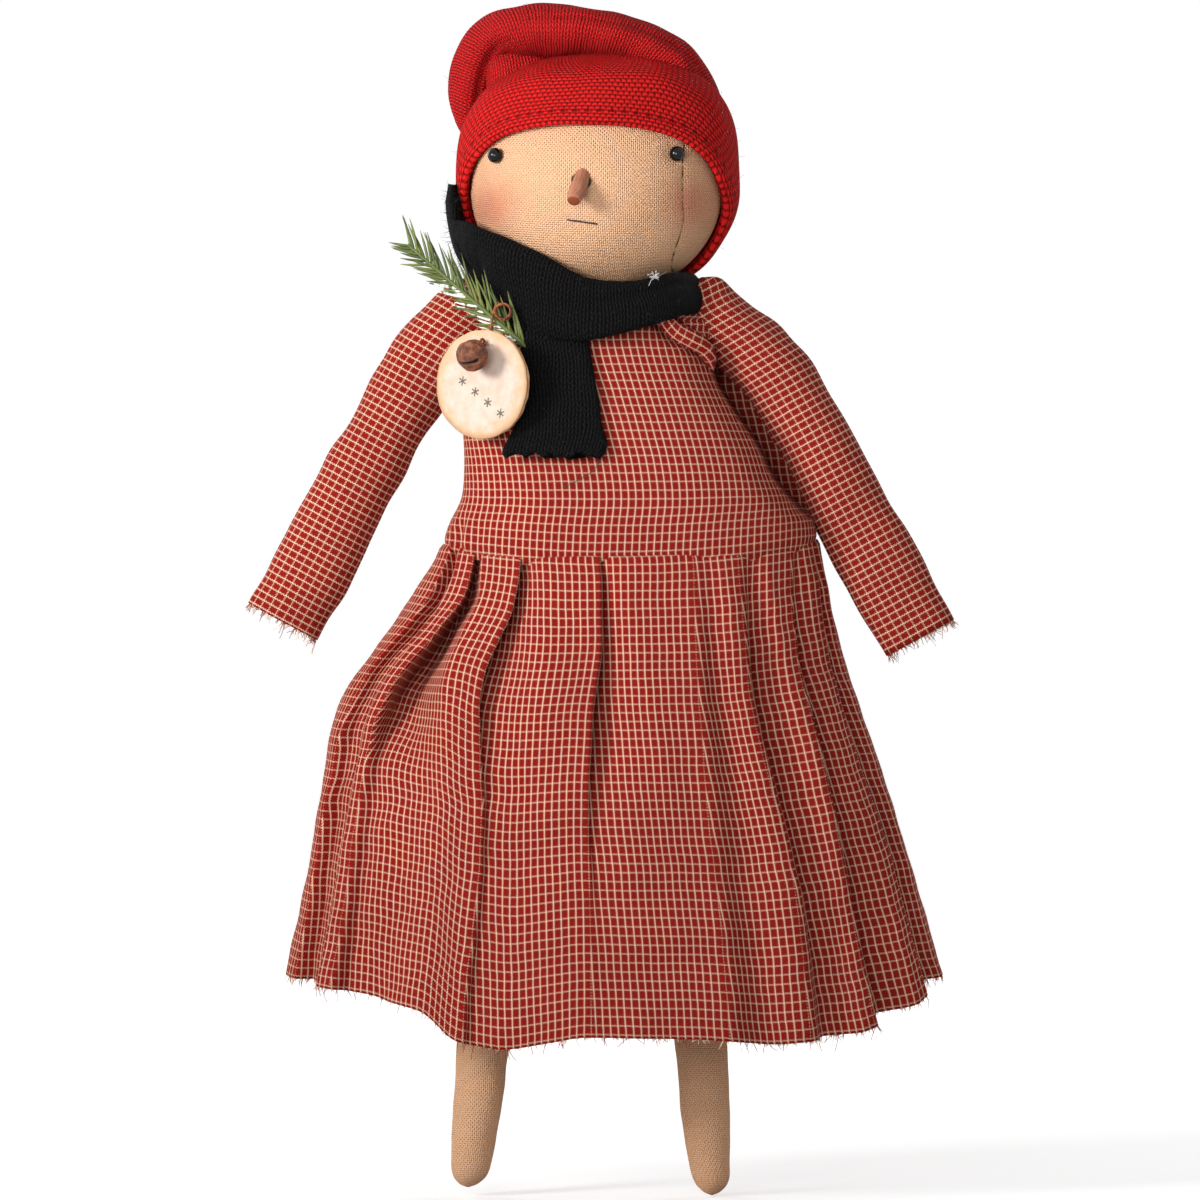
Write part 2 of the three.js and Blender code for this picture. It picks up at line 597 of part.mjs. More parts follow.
// Knife pleats round the skirt: degrees at the waist and at the hem, depth at the waist, halfway and at
// the hem as shares of a full pleat, width at the waist and the hem in degrees, and how many times
// steeper the pleat's leading side is. The front is at 270 degrees and the left at 180.
const PLEATS = [
  [8, 8, 0.6, 0.9, 0.95, 5, 8, 2],
  [33, 33, 0.7, 1, 1, 5, 8, 2],
  [60, 60, 0.7, 1, 1, 5, 8, 2],
  [88, 88, 0.7, 0.9, 0.9, 5, 8, 2],
  [115, 116, 0.7, 1, 1, 5, 8, 2],
  [142, 144, 0.7, 1, 1, 5, 8, 2],
  [166, 170, 0.7, 1.1, 1.1, 5, 9, 2],
  [188, 193, 0.65, 1.1, 0.85, 5, 8, 2],
  [209, 214, 1, 1.75, 1, 8, 11, 4],
  [234, 239, 0.75, 1.4, 1.25, 8, 11, 4],
  [259.5, 266, 0.8, 0.9, 0.5, 8, 10, 4],
  [288, 288, 0.35, 0.65, 0.75, 8, 10, 2],
  [311, 310, 0.4, 0.9, 0.9, 8, 9, 2],
  [332, 330, 0.5, 0.9, 1, 7, 9, 2],
  [350, 349, 0.6, 0.9, 0.95, 5, 8, 2],
].map(([waist, hem, top, middle, low, narrow, wide, steep]) => {
  const at = (drop) => lerp(waist, hem, drop);
  const width = (drop) => lerp(narrow, wide, drop);
  const share = (drop) => along([[0, SETTLE * top], [0.07, top], [0.5, middle], [1, low]], drop);
  return { at, width, steep, depth: (drop) => PLEAT_DEPTH * share(drop) };
});
const turnFrom = (degrees, from) => THREE.MathUtils.euclideanModulo(degrees - from + 180, 360) - 180;
const pleatsAt = (drop, degrees) =>
  PLEATS.reduce((sum, pleat) => {
    const off = turnFrom(degrees, pleat.at(drop)) / pleat.width(drop);
    return sum + pleat.depth(drop) * Math.exp(-((off < 0 ? off * pleat.steep : off) ** 2));
  }, 0);
// Five columns of points follow each pleat: its leading edge, its bottom, and the slope after it.
const pleatColumns = (drop) =>
  PLEATS.flatMap((pleat, i) => {
    const start = pleat.at(drop);
    const gap = THREE.MathUtils.euclideanModulo(PLEATS[(i + 1) % PLEATS.length].at(drop) - start, 360);
    const edge = (1.8 * pleat.width(drop)) / pleat.steep;
    return [start - min(edge, gap / 5), start, ...[0.25, 0.45, 0.65].map((share) => start + share * gap)];
  });
const skirtTop = WAIST_HEIGHT - GAP;
function skirtRing(drop, grow) {
  const opened = drop ** FLARE;
  const halfWidth = lerp(waistWidth, HEM_HALF_WIDTH, opened) + grow;
  const front = lerp(bodiceFront(WAIST_HEIGHT), HEM_FRONT_DEPTH, opened) + grow;
  const back = lerp(bodiceBack(WAIST_HEIGHT), HEM_BACK_DEPTH, opened) + grow;
  const lean = waistLean * (1 - drop) ** 6 + HEM_LEAN * drop ** 1.5;
  return pleatColumns(drop).map((degrees) => {
    const angle = radians(degrees);
    const fold = pleatsAt(drop, degrees);
    const x = lean + (halfWidth - fold) * cos(angle);
    const deep = (sin(angle) < 0 ? front : back) - fold;
    const hem = HEM_HEIGHT + HEM_SIDE_RISE * cos(angle) ** 4;
    return point(x, deep * sin(angle), lerp(skirtTop + waistRise(x), hem, drop));
  });
}
const skirtDrops = steps(SKIRT_ROWS).flatMap((drop) => (drop ? [drop] : [0, 0.07]));
const skirt = openShell(
  skirtDrops.map((drop) => skirtRing(drop, 0)),
  skirtDrops.map((drop) => skirtRing(drop, -SKIRT_CLOTH)),
);
place(doll, "skirt", skirt, checkedCotton);

// Arms: stuffed limbs with a ball at the shoulder, sewn to the torso by a shank of thread, in sleeves

const shoulderX = torsoWidth(SHOULDER_HEIGHT) + SHOULDER_REACH + ARM_BALL_RADIUS;
const SLEEVE_WIDTHS = [[0, 0.98], [0.14, 1.04], [0.42, 1], [0.75, 0.99], [1, 0.95]];
const SLEEVE_DEPTHS = [[0, 1.06], [0.14, 1.05], [0.42, 0.97], [0.75, 0.83], [1, 0.66]];
const sleeveWidth = (share) => SLEEVE_HALF_WIDTH * along(SLEEVE_WIDTHS, share);
const sleeveDepth = (share) => SLEEVE_HALF_DEPTH * along(SLEEVE_DEPTHS, share);
const sleeveShares = steps(7, 0.02, 1);
const sleeveRing = (share, grow) => {
  const depth = sleeveDepth(share) + grow;
  return levelRing(0, -share * SLEEVE_LENGTH, sleeveWidth(share) + grow, depth, depth, LIMB_SIDES);
};
const handShare = 1 - HAND_RECESS / SLEEVE_LENGTH;
const ROUNDING = 0.05; // share of the arm over which the hand end rounds off
const BALL_MOUTH = 163; // degrees round the arm's ball from its lowest point to its small mouth
const armInset = DRESS_CLOTH + GAP;

// Rings of the arm from the hand end up to the small mouth at the top of its ball.
function armRings(inset) {
  const limb = steps(5, handShare - ROUNDING, 0.06).map((share) => sleeveRing(share, -armInset - inset));
  const tipSize = 0.45;
  const tip = limb[0].map((p) => {
    const drop = -handShare * SLEEVE_LENGTH + inset;
    return point(p.x * tipSize, p.y * tipSize, drop);
  });
  const top = steps(3, 90, BALL_MOUTH).map((angle) => {
    const radius = (ARM_BALL_RADIUS - inset) * sin(radians(angle));
    return levelRing(0, -(ARM_BALL_RADIUS - inset) * cos(radians(angle)), radius, radius, radius, LIMB_SIDES);
  });
  return [tip, ...limb, ...top];
}
for (const [name, side] of [["left", -1], ["right", 1]]) {
  const arm = new THREE.Group();
  arm.position.set(side * shoulderX, 0, SHOULDER_HEIGHT);
  arm.rotation.y = -side * radians(ARM_SPLAY);
  doll.add(arm);
  const sleeve = openShell(
    sleeveShares.map((share) => sleeveRing(share, 0)),
    sleeveShares.map((share) => sleeveRing(share, -DRESS_CLOTH)),
  );
  place(arm, `sleeve_${name}`, sleeve, checkedCotton);
  place(arm, `arm_skin_${name}`, bag(armRings(0), armRings(SKIN)), linen);
  place(arm, `arm_stuffing_${name}`, loft(armRings(stuffingInset)), fibrefill);

  const pivot = point(side * shoulderX, 0, SHOULDER_HEIGHT);
  const shank = rod(point(side * NECK_RADIUS, 0, SHOULDER_HEIGHT), pivot, THREAD_RADIUS);
  const armBall = ball(pivot, ARM_BALL_RADIUS + GAP, BALL_SIDES, 0.7 * BALL_SIDES);
  const shoulderThread = cut(shank, loft(torsoRings(GAP)), armBall);
  place(doll, `shoulder_thread_${name}`, shoulderThread, thread);
}

// Legs: stuffed limbs, flat where they are sewn to a band along the hip seam

const hipAxisHeight = HIP_SEAM_HEIGHT - GAP - HIP_BAND_RADIUS;
const legTop = hipAxisHeight - HIP_BAND_RADIUS - GAP;
const bandReach = (side, x) => x + side * (LEG_RADIUS + HIP_BAND_OVERHANG);
place(
  doll,
  "hip_band",
  rod(
    point(bandReach(-1, HIP_X_LEFT), 0, hipAxisHeight),
    point(bandReach(1, HIP_X_RIGHT), 0, hipAxisHeight),
    HIP_BAND_RADIUS,
  ),
  linen,
);

// Half widths and half depths down the leg, as shares of the leg's and the ankle's radius.
const LEG_WIDTHS = [[0, 0.9], [0.08, 1], [0.2, 1.04], [0.45, 0.94], [0.7, 0.85]];
const LEG_DEPTHS = [[0, 0.2], [0.08, 0.66], [0.2, 1], [0.45, 0.94], [0.7, 0.85]];
const CALF = 0.7; // share of the leg where it starts to narrow to the ankle
const ANKLE = 0.94;
const legSize = (table, share) =>
  share <= CALF
    ? LEG_RADIUS * along(table, share)
    : lerp(LEG_RADIUS * along(table, CALF), ANKLE_RADIUS, (share - CALF) / (ANKLE - CALF));
function legRings(hipX, footX, footHeight, inset) {
  const ring = (share, size) => {
    const x = lerp(hipX, footX, 0.55 * share + 0.45 * share ** 2);
    const z = lerp(legTop, footHeight, share);
    const width = max(size * legSize(LEG_WIDTHS, share) - inset, MIN_HALF);
    const depth = max(size * legSize(LEG_DEPTHS, share) - inset, MIN_HALF);
    return levelRing(x, z, width, depth, depth, LIMB_SIDES);
  };
  const length = legTop - footHeight;
  const shin = [0, 0.08, 0.2, 0.4, 0.6, 0.8, ANKLE].map((share) => ring(share, 1));
  const toe = [[0.975, 0.86], [1 - inset / length, 0.5]].map(([share, size]) => ring(share, size));
  return [...shin, ...toe].reverse();
}
const legs = [
  ["left", HIP_X_LEFT, FOOT_X_LEFT, FOOT_HEIGHT_LEFT],
  ["right", HIP_X_RIGHT, FOOT_X_RIGHT, FOOT_HEIGHT_RIGHT],
];
for (const [name, hipX, footX, footHeight] of legs) {
  const rings = (inset) => legRings(hipX, footX, footHeight, inset);
  place(doll, `leg_skin_${name}`, bag(rings(0), rings(SKIN)), linen);
  const fill = rings(stuffingInset).slice(0, -1); // the sewn top of the leg holds no stuffing
  place(doll, `leg_stuffing_${name}`, loft(fill), fibrefill);
}

// Scarf: a wrap round the neck, one end hanging in front and the other tucked up on the left

const wrapHeight = NECK_BASE_HEIGHT - SCARF_FRONT_DROP;
const wrapHalfWidth = NECK_RADIUS + SCARF_EASE;
const wrapHalfDepth = wrapHalfWidth - SCARF_HALF_THICKNESS / 2;
const WRAP_LEAN = 20; // degrees the band leans out at its lower edge
function wrapRings(grow) {
  return steps(WRAP_STEPS)
    .slice(0, -1)
    .map((turn) => {
      const angle = 2 * PI * turn;
      const outward = point(cos(angle), sin(angle), 0);
      const height = wrapHeight + SCARF_SIDE_RISE * cos(angle) ** 2;
      const centre = point(wrapHalfWidth * cos(angle), wrapHalfDepth * sin(angle), height);
      const lean = radians(WRAP_LEAN);
      const across = outward.clone().multiplyScalar(cos(lean)).addScaledVector(Z_AXIS, sin(lean));
      const upward = outward.clone().multiplyScalar(-sin(lean)).addScaledVector(Z_AXIS, cos(lean));
      const half = SCARF_HALF_HEIGHT + grow;
      return ellipse(centre, across, upward, SCARF_HALF_THICKNESS + grow, half, half, 10);
    });
}
const wrapSolid = (grow) => loft(wrapRings(grow), true);
const sweptHead = (grow) =>
  loft(headRings(grow, HEAD_OPENING_DROP, HEAD_HALF_WIDTH, HEAD_HALF_WIDTH)).translate(0, 0, headHeight);
place(doll, "scarf_wrap", cut(wrapSolid(0), bodiceSolid(GAP), sweptHead(RUNNING_GAP)), blackKnit);

const tailTop = wrapHeight - SCARF_HALF_HEIGHT / 2;
const tailBottom = tailTop - SCARF_TAIL_LENGTH;
const tailMiddleY = (height) => -(bodiceFront(height) + GAP + SCARF_TAIL_THICKNESS / 2);
const tailFrontY = (height) => tailMiddleY(height) - SCARF_TAIL_THICKNESS / 2;
const scarfTail = (grow) =>
  loft(
    steps(6, tailBottom - grow, tailTop + grow).map((height) => {
      const share = (tailTop - height) / SCARF_TAIL_LENGTH;
      const half = lerp(SCARF_TAIL_HALF_TOP, SCARF_TAIL_HALF_END, share * Math.abs(share)) + grow;
      const middle = point(SCARF_TAIL_X, tailMiddleY(height), height);
      const thick = SCARF_TAIL_THICKNESS / 2 + grow;
      return ellipse(middle, X_AXIS, Y_AXIS, half, thick, thick, 12);
    }),
  );
place(doll, "scarf_front_tail", cut(scarfTail(0), bodiceSolid(GAP), wrapSolid(GAP)), blackKnit);

const capSweep = HEAD_HALF_WIDTH + GAP + KNIT + RUNNING_GAP;
const endLine = new THREE.CatmullRomCurve3([
  point(-wrapHalfWidth, 2, wrapHeight + SCARF_SIDE_RISE),
  point(lerp(-wrapHalfWidth, -capSweep, 0.6), 5, wrapHeight + 0.4 * SCARF_END_RISE),
  point(-capSweep - SCARF_TAIL_THICKNESS / 2, 8, wrapHeight + 0.7 * SCARF_END_RISE),
  point(-capSweep - SCARF_TAIL_THICKNESS / 2, 9, wrapHeight + SCARF_END_RISE),
]);
const scarfEnd = loft(
  steps(6).map((t) => {
    const outward = Y_AXIS.clone().cross(endLine.getTangent(t)).normalize();
    const thick = SCARF_TAIL_THICKNESS / 2;
    return ellipse(endLine.getPoint(t), Y_AXIS, outward, SCARF_END_HALF_DEPTH, thick, thick, 12);
  }),
);
const sweptCap = sweptHead(GAP + KNIT + RUNNING_GAP);
place(
  doll,
  "scarf_back_end",
  cut(scarfEnd, wrapSolid(GAP), sweptCap, bodiceSolid(GAP)),
  blackKnit,
);

// Tag: two card discs on a wire, hanging in front of the scarf and facing a little to the left

const tagFacing = point(-sin(radians(TAG_YAW)), -cos(radians(TAG_YAW)), 0);
const tagAcross = point(cos(radians(TAG_YAW)), -sin(radians(TAG_YAW)), 0);
const tagHole = point(TAG_HOLE_X, tailFrontY(TAG_HOLE_HEIGHT) - TAG_FORWARD, TAG_HOLE_HEIGHT);
const tagCentre = tagHole.clone().addScaledVector(Z_AXIS, TAG_HOLE_INSET - TAG_RADIUS);
const tagAt = (base, forward) => base.clone().addScaledVector(tagFacing, forward);
const tagDisc = (near, far) =>
  cut(
    rod(tagAt(tagCentre, near), tagAt(tagCentre, far), TAG_RADIUS, TAG_RADIUS, 40),
    rod(tagAt(tagHole, near - TAG_DISC), tagAt(tagHole, far + TAG_DISC), TAG_HOLE_RADIUS),
  );
const discFront = GAP / 2 + TAG_DISC;
place(doll, "tag_front_disc", tagDisc(GAP / 2, discFront), creamCard);
place(doll, "tag_back_disc", tagDisc(-discFront, -GAP / 2), creamCard);

// Jingle bell: two pressed half shells with a slot, a wire loop and a loose pellet

const bellLine = tagFacing
  .clone()
  .multiplyScalar(cos(radians(BELL_DROOP)))
  .addScaledVector(Z_AXIS, -sin(radians(BELL_DROOP)));
const bellAcross = tagAcross.clone();
const bellUp = bellAcross.clone().cross(bellLine).normalize();
const loopReach = BELL_LOOP_RADIUS + BELL_LOOP_WIRE;
const loopCentre = tagAt(tagHole, discFront + loopReach + GAP).addScaledVector(tagAcross, loopReach);
const bellCentre = loopCentre.clone().addScaledVector(bellLine, BELL_RADIUS + GAP + loopReach);
// Rings of half a bell from its pole, at the loop's end (-1) or the mouth's end (1), to its rim.
const bellRings = (end, radius) =>
  steps(4, 12, 90 - THREE.MathUtils.radToDeg(GAP / 2 / radius)).map((angle) => {
    const ringRadius = radius * sin(radians(angle));
    const centre = bellCentre.clone().addScaledVector(bellLine, end * radius * cos(radians(angle)));
    return ellipse(centre, bellAcross, bellUp, ringRadius, ringRadius, ringRadius, 16);
  });
const bellHalf = (end) => bag(bellRings(end, BELL_RADIUS), bellRings(end, BELL_RADIUS - BELL_WALL));
const slotReach = bellAcross.clone().multiplyScalar(0.8 * BELL_RADIUS);
const slotOut = bellLine.clone().multiplyScalar(BELL_RADIUS);
const slotRing = [[-1, -1], [-1, 1], [1, 1], [1, -1]].map(([u, v]) =>
  bellCentre
    .clone()
    .addScaledVector(slotReach, u)
    .addScaledVector(bellUp, (v * BELL_SLOT) / 2),
);
const SLOT_DEPTH = 0.45; // the slot starts this share of the radius out from the middle
const bellSlot = loft(
  [SLOT_DEPTH, 1.2].map((out) => slotRing.map((p) => p.clone().addScaledVector(slotOut, out))),
);
place(doll, "bell_upper_shell", bellHalf(-1), rust);
place(doll, "bell_lower_shell", cut(bellHalf(1), bellSlot), rust);

const loopRing = steps(14)
  .slice(0, -1)
  .map((turn) => {
    const angle = 2 * PI * turn;
    const outward = bellLine.clone().multiplyScalar(cos(angle)).addScaledVector(bellUp, sin(angle));
    const centre = loopCentre.clone().addScaledVector(outward, BELL_LOOP_RADIUS);
    return ellipse(centre, outward, bellAcross, BELL_LOOP_WIRE, BELL_LOOP_WIRE, BELL_LOOP_WIRE, 6);
  });
place(doll, "bell_loop", loft(loopRing, true), rust);
const pelletSeat = BELL_RADIUS - BELL_WALL - PELLET_RADIUS - GAP;
const pelletCentre = bellCentre.clone().addScaledVector(Z_AXIS, -pelletSeat);
place(doll, "bell_pellet", ball(pelletCentre, PELLET_RADIUS, 8, 6), rust);

// Sprig: a moulded stem with needles, lying across the scarf and pointing up to the left

const stemBase = point(
  STEM_BASE_X,
  tailFrontY(STEM_BASE_HEIGHT) - STEM_RADIUS,
  STEM_BASE_HEIGHT,
);
const stemTip = point(STEM_TIP_X, stemBase.y + STEM_TIP_BACK, STEM_TIP_HEIGHT);
const stemLine = stemTip.clone().sub(stemBase);
const stemAt = (share) => stemBase.clone().addScaledVector(stemLine, share);
const stemUp = stemLine.clone().normalize();
const stemSide = stemUp.clone().cross(Y_AXIS).normalize(); // in the plane of the spray
const GOLDEN_ANGLE = 137.5;
const SPRAY_FLATNESS = 0.3; // the spray is this deep for its width
const needles = steps(NEEDLES - 1).map((share, n) => {
  const turn = radians(n * GOLDEN_ANGLE);
  const outward = stemSide
    .clone()
    .multiplyScalar(cos(turn))
    .addScaledVector(Y_AXIS, -SPRAY_FLATNESS * Math.abs(sin(turn)))
    .normalize();
  const line = stemUp
    .clone()
    .multiplyScalar(cos(radians(NEEDLE_PITCH)))
    .addScaledVector(outward, sin(radians(NEEDLE_PITCH)));
  const root = stemAt(lerp(0.12, 0.97, share));
  const tip = root.clone().addScaledVector(line, NEEDLE_LENGTH * lerp(1, 0.6, share));
  return rod(root, tip, NEEDLE_RADIUS, NEEDLE_RADIUS / 4, 3);
});
const sprig = join(rod(stemAt(0), stemAt(1), STEM_RADIUS, STEM_TIP_RADIUS, 8), ...needles);
const tagClear = rod(
  tagAt(tagCentre, -discFront - RUNNING_GAP),
  tagAt(tagCentre, discFront + RUNNING_GAP),
  TAG_RADIUS + TAG_HOLE_INSET / 2,
);

// Wire: a pigtail curl in front of the scarf, running past the stem and through the tag to the bell

const curlFront = tailFrontY(CURL_HEIGHT) - TAG_FORWARD - CURL_TURNS * CURL_PITCH;
const CURL_STEPS = 8;
const curl = steps(CURL_TURNS * CURL_STEPS).map((share) => {
  const angle = 2 * PI * CURL_TURNS * share + PI / 2;
  return point(
    CURL_X + CURL_RADIUS * cos(angle),
    curlFront + CURL_TURNS * CURL_PITCH * share,
    CURL_HEIGHT + CURL_RADIUS * sin(angle),
  );
});
const curlExit = curl[curl.length - 1].clone().add(point(-CURL_RADIUS, CURL_PITCH, 0));
const wireRun = [
  curlExit,
  tagAt(tagHole, -4 * discFront).add(point(0, 0, CURL_RADIUS)),
  tagAt(tagHole, -2 * discFront),
  tagAt(tagHole, 0),
  tagAt(tagHole, discFront + GAP),
  tagAt(tagHole, discFront + loopReach).addScaledVector(tagAcross, WIRE_RADIUS),
  loopCentre.clone().addScaledVector(tagAcross, -loopReach / 4),
  loopCentre.clone().addScaledVector(tagAcross, loopReach),
];
const wirePath = [...curl, ...wireRun];
const wire = tube(wirePath, WIRE_RADIUS);
const leastGap = curl.reduce((least, p, i) => {
  const others = curl.slice(i + CURL_STEPS - 1);
  return others.reduce((gap, q) => min(gap, p.distanceTo(q) - 2 * WIRE_RADIUS), least);
}, Infinity);
console.log(`wire curl: least gap to itself ${leastGap.toFixed(2)} mm`);
const wireClear = tube(wirePath, WIRE_RADIUS + GAP);
const scarfClear = [wrapSolid(GAP), scarfTail(GAP), bodiceSolid(GAP)];
place(doll, "spruce_sprig", largest(cut(sprig, tagClear, wireClear, ...scarfClear)), spruce);
place(doll, "ornament_wire", wire, rust);

// The origin is on the flat of the back
doll.position.set(0, -backFlatY, -BACK_FLAT_HEIGHT);

export default doll;
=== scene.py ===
# Looks of the stuffed snowman doll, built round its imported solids.
# Shapes are worked out in millimetres above the soles, with the neck on X = 0 and Y = 0 and the face
# towards -Y, and turned into metres in the part's own frame when each mesh is made.
import math

import bpy
import numpy as np
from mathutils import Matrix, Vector


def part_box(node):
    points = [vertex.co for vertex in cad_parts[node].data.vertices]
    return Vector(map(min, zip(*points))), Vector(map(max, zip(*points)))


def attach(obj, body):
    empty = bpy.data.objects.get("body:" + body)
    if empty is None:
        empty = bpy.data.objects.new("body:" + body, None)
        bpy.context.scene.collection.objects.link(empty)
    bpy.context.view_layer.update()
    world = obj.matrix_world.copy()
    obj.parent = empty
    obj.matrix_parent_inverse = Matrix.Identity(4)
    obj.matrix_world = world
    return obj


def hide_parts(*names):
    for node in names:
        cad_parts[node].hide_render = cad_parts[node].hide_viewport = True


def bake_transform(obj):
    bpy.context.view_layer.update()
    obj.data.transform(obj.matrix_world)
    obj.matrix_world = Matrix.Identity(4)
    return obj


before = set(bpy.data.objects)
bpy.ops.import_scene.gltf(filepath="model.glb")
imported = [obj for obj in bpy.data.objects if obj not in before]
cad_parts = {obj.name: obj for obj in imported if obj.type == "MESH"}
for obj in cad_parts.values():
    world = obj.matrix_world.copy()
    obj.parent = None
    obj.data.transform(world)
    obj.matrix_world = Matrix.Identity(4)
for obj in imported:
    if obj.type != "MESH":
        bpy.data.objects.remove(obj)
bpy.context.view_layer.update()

ORIGIN = np.array([0.0, 39.5, 312.0])  # the frame's origin, in doll millimetres
PHOTO_MM = 0.4244  # millimetres to a pixel of the photograph
PHOTO_MIDDLE = 597  # the pixel column at X = 0
PHOTO_SOLES = 1198  # the pixel row at height 0
TURN = 2 * math.pi
RIGHT = np.array([1.0, 0.0, 0.0])
BACK = np.array([0.0, 1.0, 0.0])
UP = np.array([0.0, 0.0, 1.0])
SIDES = (("left", -1), ("right", 1))

# Measures


def metres(points):
    """Doll millimetres to metres in the part's frame."""
    return (np.asarray(points, float) - ORIGIN) / 1000


def millimetres(points):
    """Metres in the part's frame to doll millimetres."""
    return np.asarray(points, float) * 1000 + ORIGIN


def place(x, y, z):
    return tuple(metres([x, y, z]))


def box_of(node):
    """The lowest and highest corner of a solid, in doll millimetres."""
    return [millimetres(corner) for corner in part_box(node)]


def photo(px, py):
    """X and height in doll millimetres of a pixel of the photograph."""
    return (px - PHOTO_MIDDLE) * PHOTO_MM, (PHOTO_SOLES - py) * PHOTO_MM


def from_photo(px, py, y):
    """The point in doll millimetres at a pixel of the photograph, with its Y."""
    x, z = photo(px, py)
    return (x, y, z)


def srgb(r, g, b):
    def linear(c):
        c = c / 255
        return c / 12.92 if c <= 0.04045 else ((c + 0.055) / 1.055) ** 2.4

    return (linear(r), linear(g), linear(b), 1.0)


def smooth(t):
    t = np.clip(t, 0, 1)
    return t * t * (3 - 2 * t)


def bell_curve(distance, width):
    return np.exp(-((distance / width) ** 2))


def squared(value, power):
    """A rounder or squarer circle: the value's sign with its size raised to a power."""
    return np.sign(value) * np.abs(value) ** power


def unit(vectors):
    return vectors / np.linalg.norm(vectors, axis=-1, keepdims=True)


def around(count, start=0.0):
    """Angles once round from the start, without the last."""
    return np.linspace(start, start + TURN, count, False)


def spline(keys, count):
    """Points evenly spaced in parameter on a Catmull-Rom curve through the keys."""
    keys = np.asarray(keys, float)
    padded = np.vstack([2 * keys[0] - keys[1], keys, 2 * keys[-1] - keys[-2]])
    t = np.linspace(0, len(keys) - 1, count)
    i = np.minimum(t.astype(int), len(keys) - 2)
    f = (t - i)[:, None]
    a, b, c, d = padded[i], padded[i + 1], padded[i + 2], padded[i + 3]
    bend = (2 * a - 5 * b + 4 * c - d) * f**2 + (3 * b - a - 3 * c + d) * f**3
    return 0.5 * (2 * b + (c - a) * f + bend)


def table(stations, t):
    """Values at t from rows of (position, value), joined by a smooth line."""
    x, y = np.asarray(stations, float).T
    slope = np.gradient(y, x)
    t = np.clip(t, x[0], x[-1])
    k = np.clip(np.searchsorted(x, t, side="right") - 1, 0, len(x) - 2)
    step = x[k + 1] - x[k]
    s = (t - x[k]) / step
    start = (1 - s) ** 2 * ((1 + 2 * s) * y[k] + s * step * slope[k])
    return start + s**2 * ((3 - 2 * s) * y[k + 1] + (s - 1) * step * slope[k + 1])


def ripple(points, wavelength, seed, waves=7):
    """A smooth wobble from about -1 to 1 over points, by a few plane waves."""
    own = np.random.default_rng(seed)
    points = np.asarray(points, float)
    total = np.zeros(points.shape[:-1])
    for _ in range(waves):
        line = unit(own.normal(size=3))
        stretch = own.uniform(0.7, 1.5)
        total += np.sin(points @ line * TURN / (wavelength * stretch) + own.uniform(0, 6.28))
    return total / waves**0.5 / 1.5


# Shapes as rows of points


def frames(path):
    """Side and up vectors that turn as little as possible along a path."""
    tangent = unit(np.gradient(np.asarray(path, float), axis=0))
    side = np.cross(tangent[0], BACK)
    if np.linalg.norm(side) < 0.2:
        side = np.cross(tangent[0], RIGHT)
    sides = []
    for line in tangent:
        side = unit(side - line * (side @ line))
        sides.append(side)
    sides = np.array(sides)
    return sides, np.cross(tangent, sides)


def tube(path, radius, sides):
    """Rings of points round a path."""
    side, up = frames(path)
    angle = around(sides)
    radius = np.broadcast_to(np.asarray(radius, float), (len(path),))[:, None, None]
    ring = side[:, None] * np.cos(angle)[None, :, None] + up[:, None] * np.sin(angle)[None, :, None]
    return np.asarray(path, float)[:, None] + radius * ring


def ellipses(centres, across, wide, deep, angles, power=1.0):
    """Rings of points round centres, as wide and as deep as each row says."""
    out = np.reshape(wide, (-1, 1)) * squared(np.cos(angles), power)
    back = np.reshape(deep, (-1, 1)) * squared(np.sin(angles), power)
    return centres[:, None] + across * out[..., None] + BACK * back[..., None]


def ball(rows, columns, gap):
    """A ball of radius 1 in rows from one pole on Z to the other, open by a small angle at both."""
    polar, turn = np.meshgrid(np.linspace(gap, math.pi - gap, rows), around(columns), indexing="ij")
    return np.stack([np.sin(polar) * np.cos(turn), np.sin(polar) * np.sin(turn), np.cos(polar)], -1)


def cloth_uv(points, start=0):
    """Cloth coordinates in metres: across along each row from the start column, and down that column."""
    closed = np.concatenate([points, points[:, :1]], axis=1)
    across = np.linalg.norm(np.diff(closed, axis=1), axis=2)
    u = np.concatenate([np.zeros((len(points), 1)), np.cumsum(across, axis=1)], axis=1)
    u = u - u[:, start : start + 1]
    down = np.linalg.norm(np.diff(closed[:, start], axis=0), axis=1)
    v = np.concatenate([[0], np.cumsum(down)])[:, None]
    return np.stack(np.broadcast_arrays(u, v), axis=2) / 1000


# Meshes


def mesh_object(name, verts, faces, material, uv=None, values=None):
    mesh = bpy.data.meshes.new(name)
    mesh.from_pydata([tuple(v) for v in metres(verts)], [], [tuple(int(i) for i in f) for f in faces])
    if uv is not None:
        layer = mesh.uv_layers.new(name="cloth")
        layer.data.foreach_set("uv", np.asarray(uv, np.float32).ravel())
    for key, value in (values or {}).items():
        attribute = mesh.attributes.new(key, "FLOAT", "POINT")
        attribute.data.foreach_set("value", np.asarray(value, np.float32).ravel())
    mesh.polygons.foreach_set("use_smooth", np.ones(len(mesh.polygons), bool))
    mesh.update()
    mesh.materials.append(material)
    made = bpy.data.objects.new(name, mesh)
    bpy.context.scene.collection.objects.link(made)
    return made


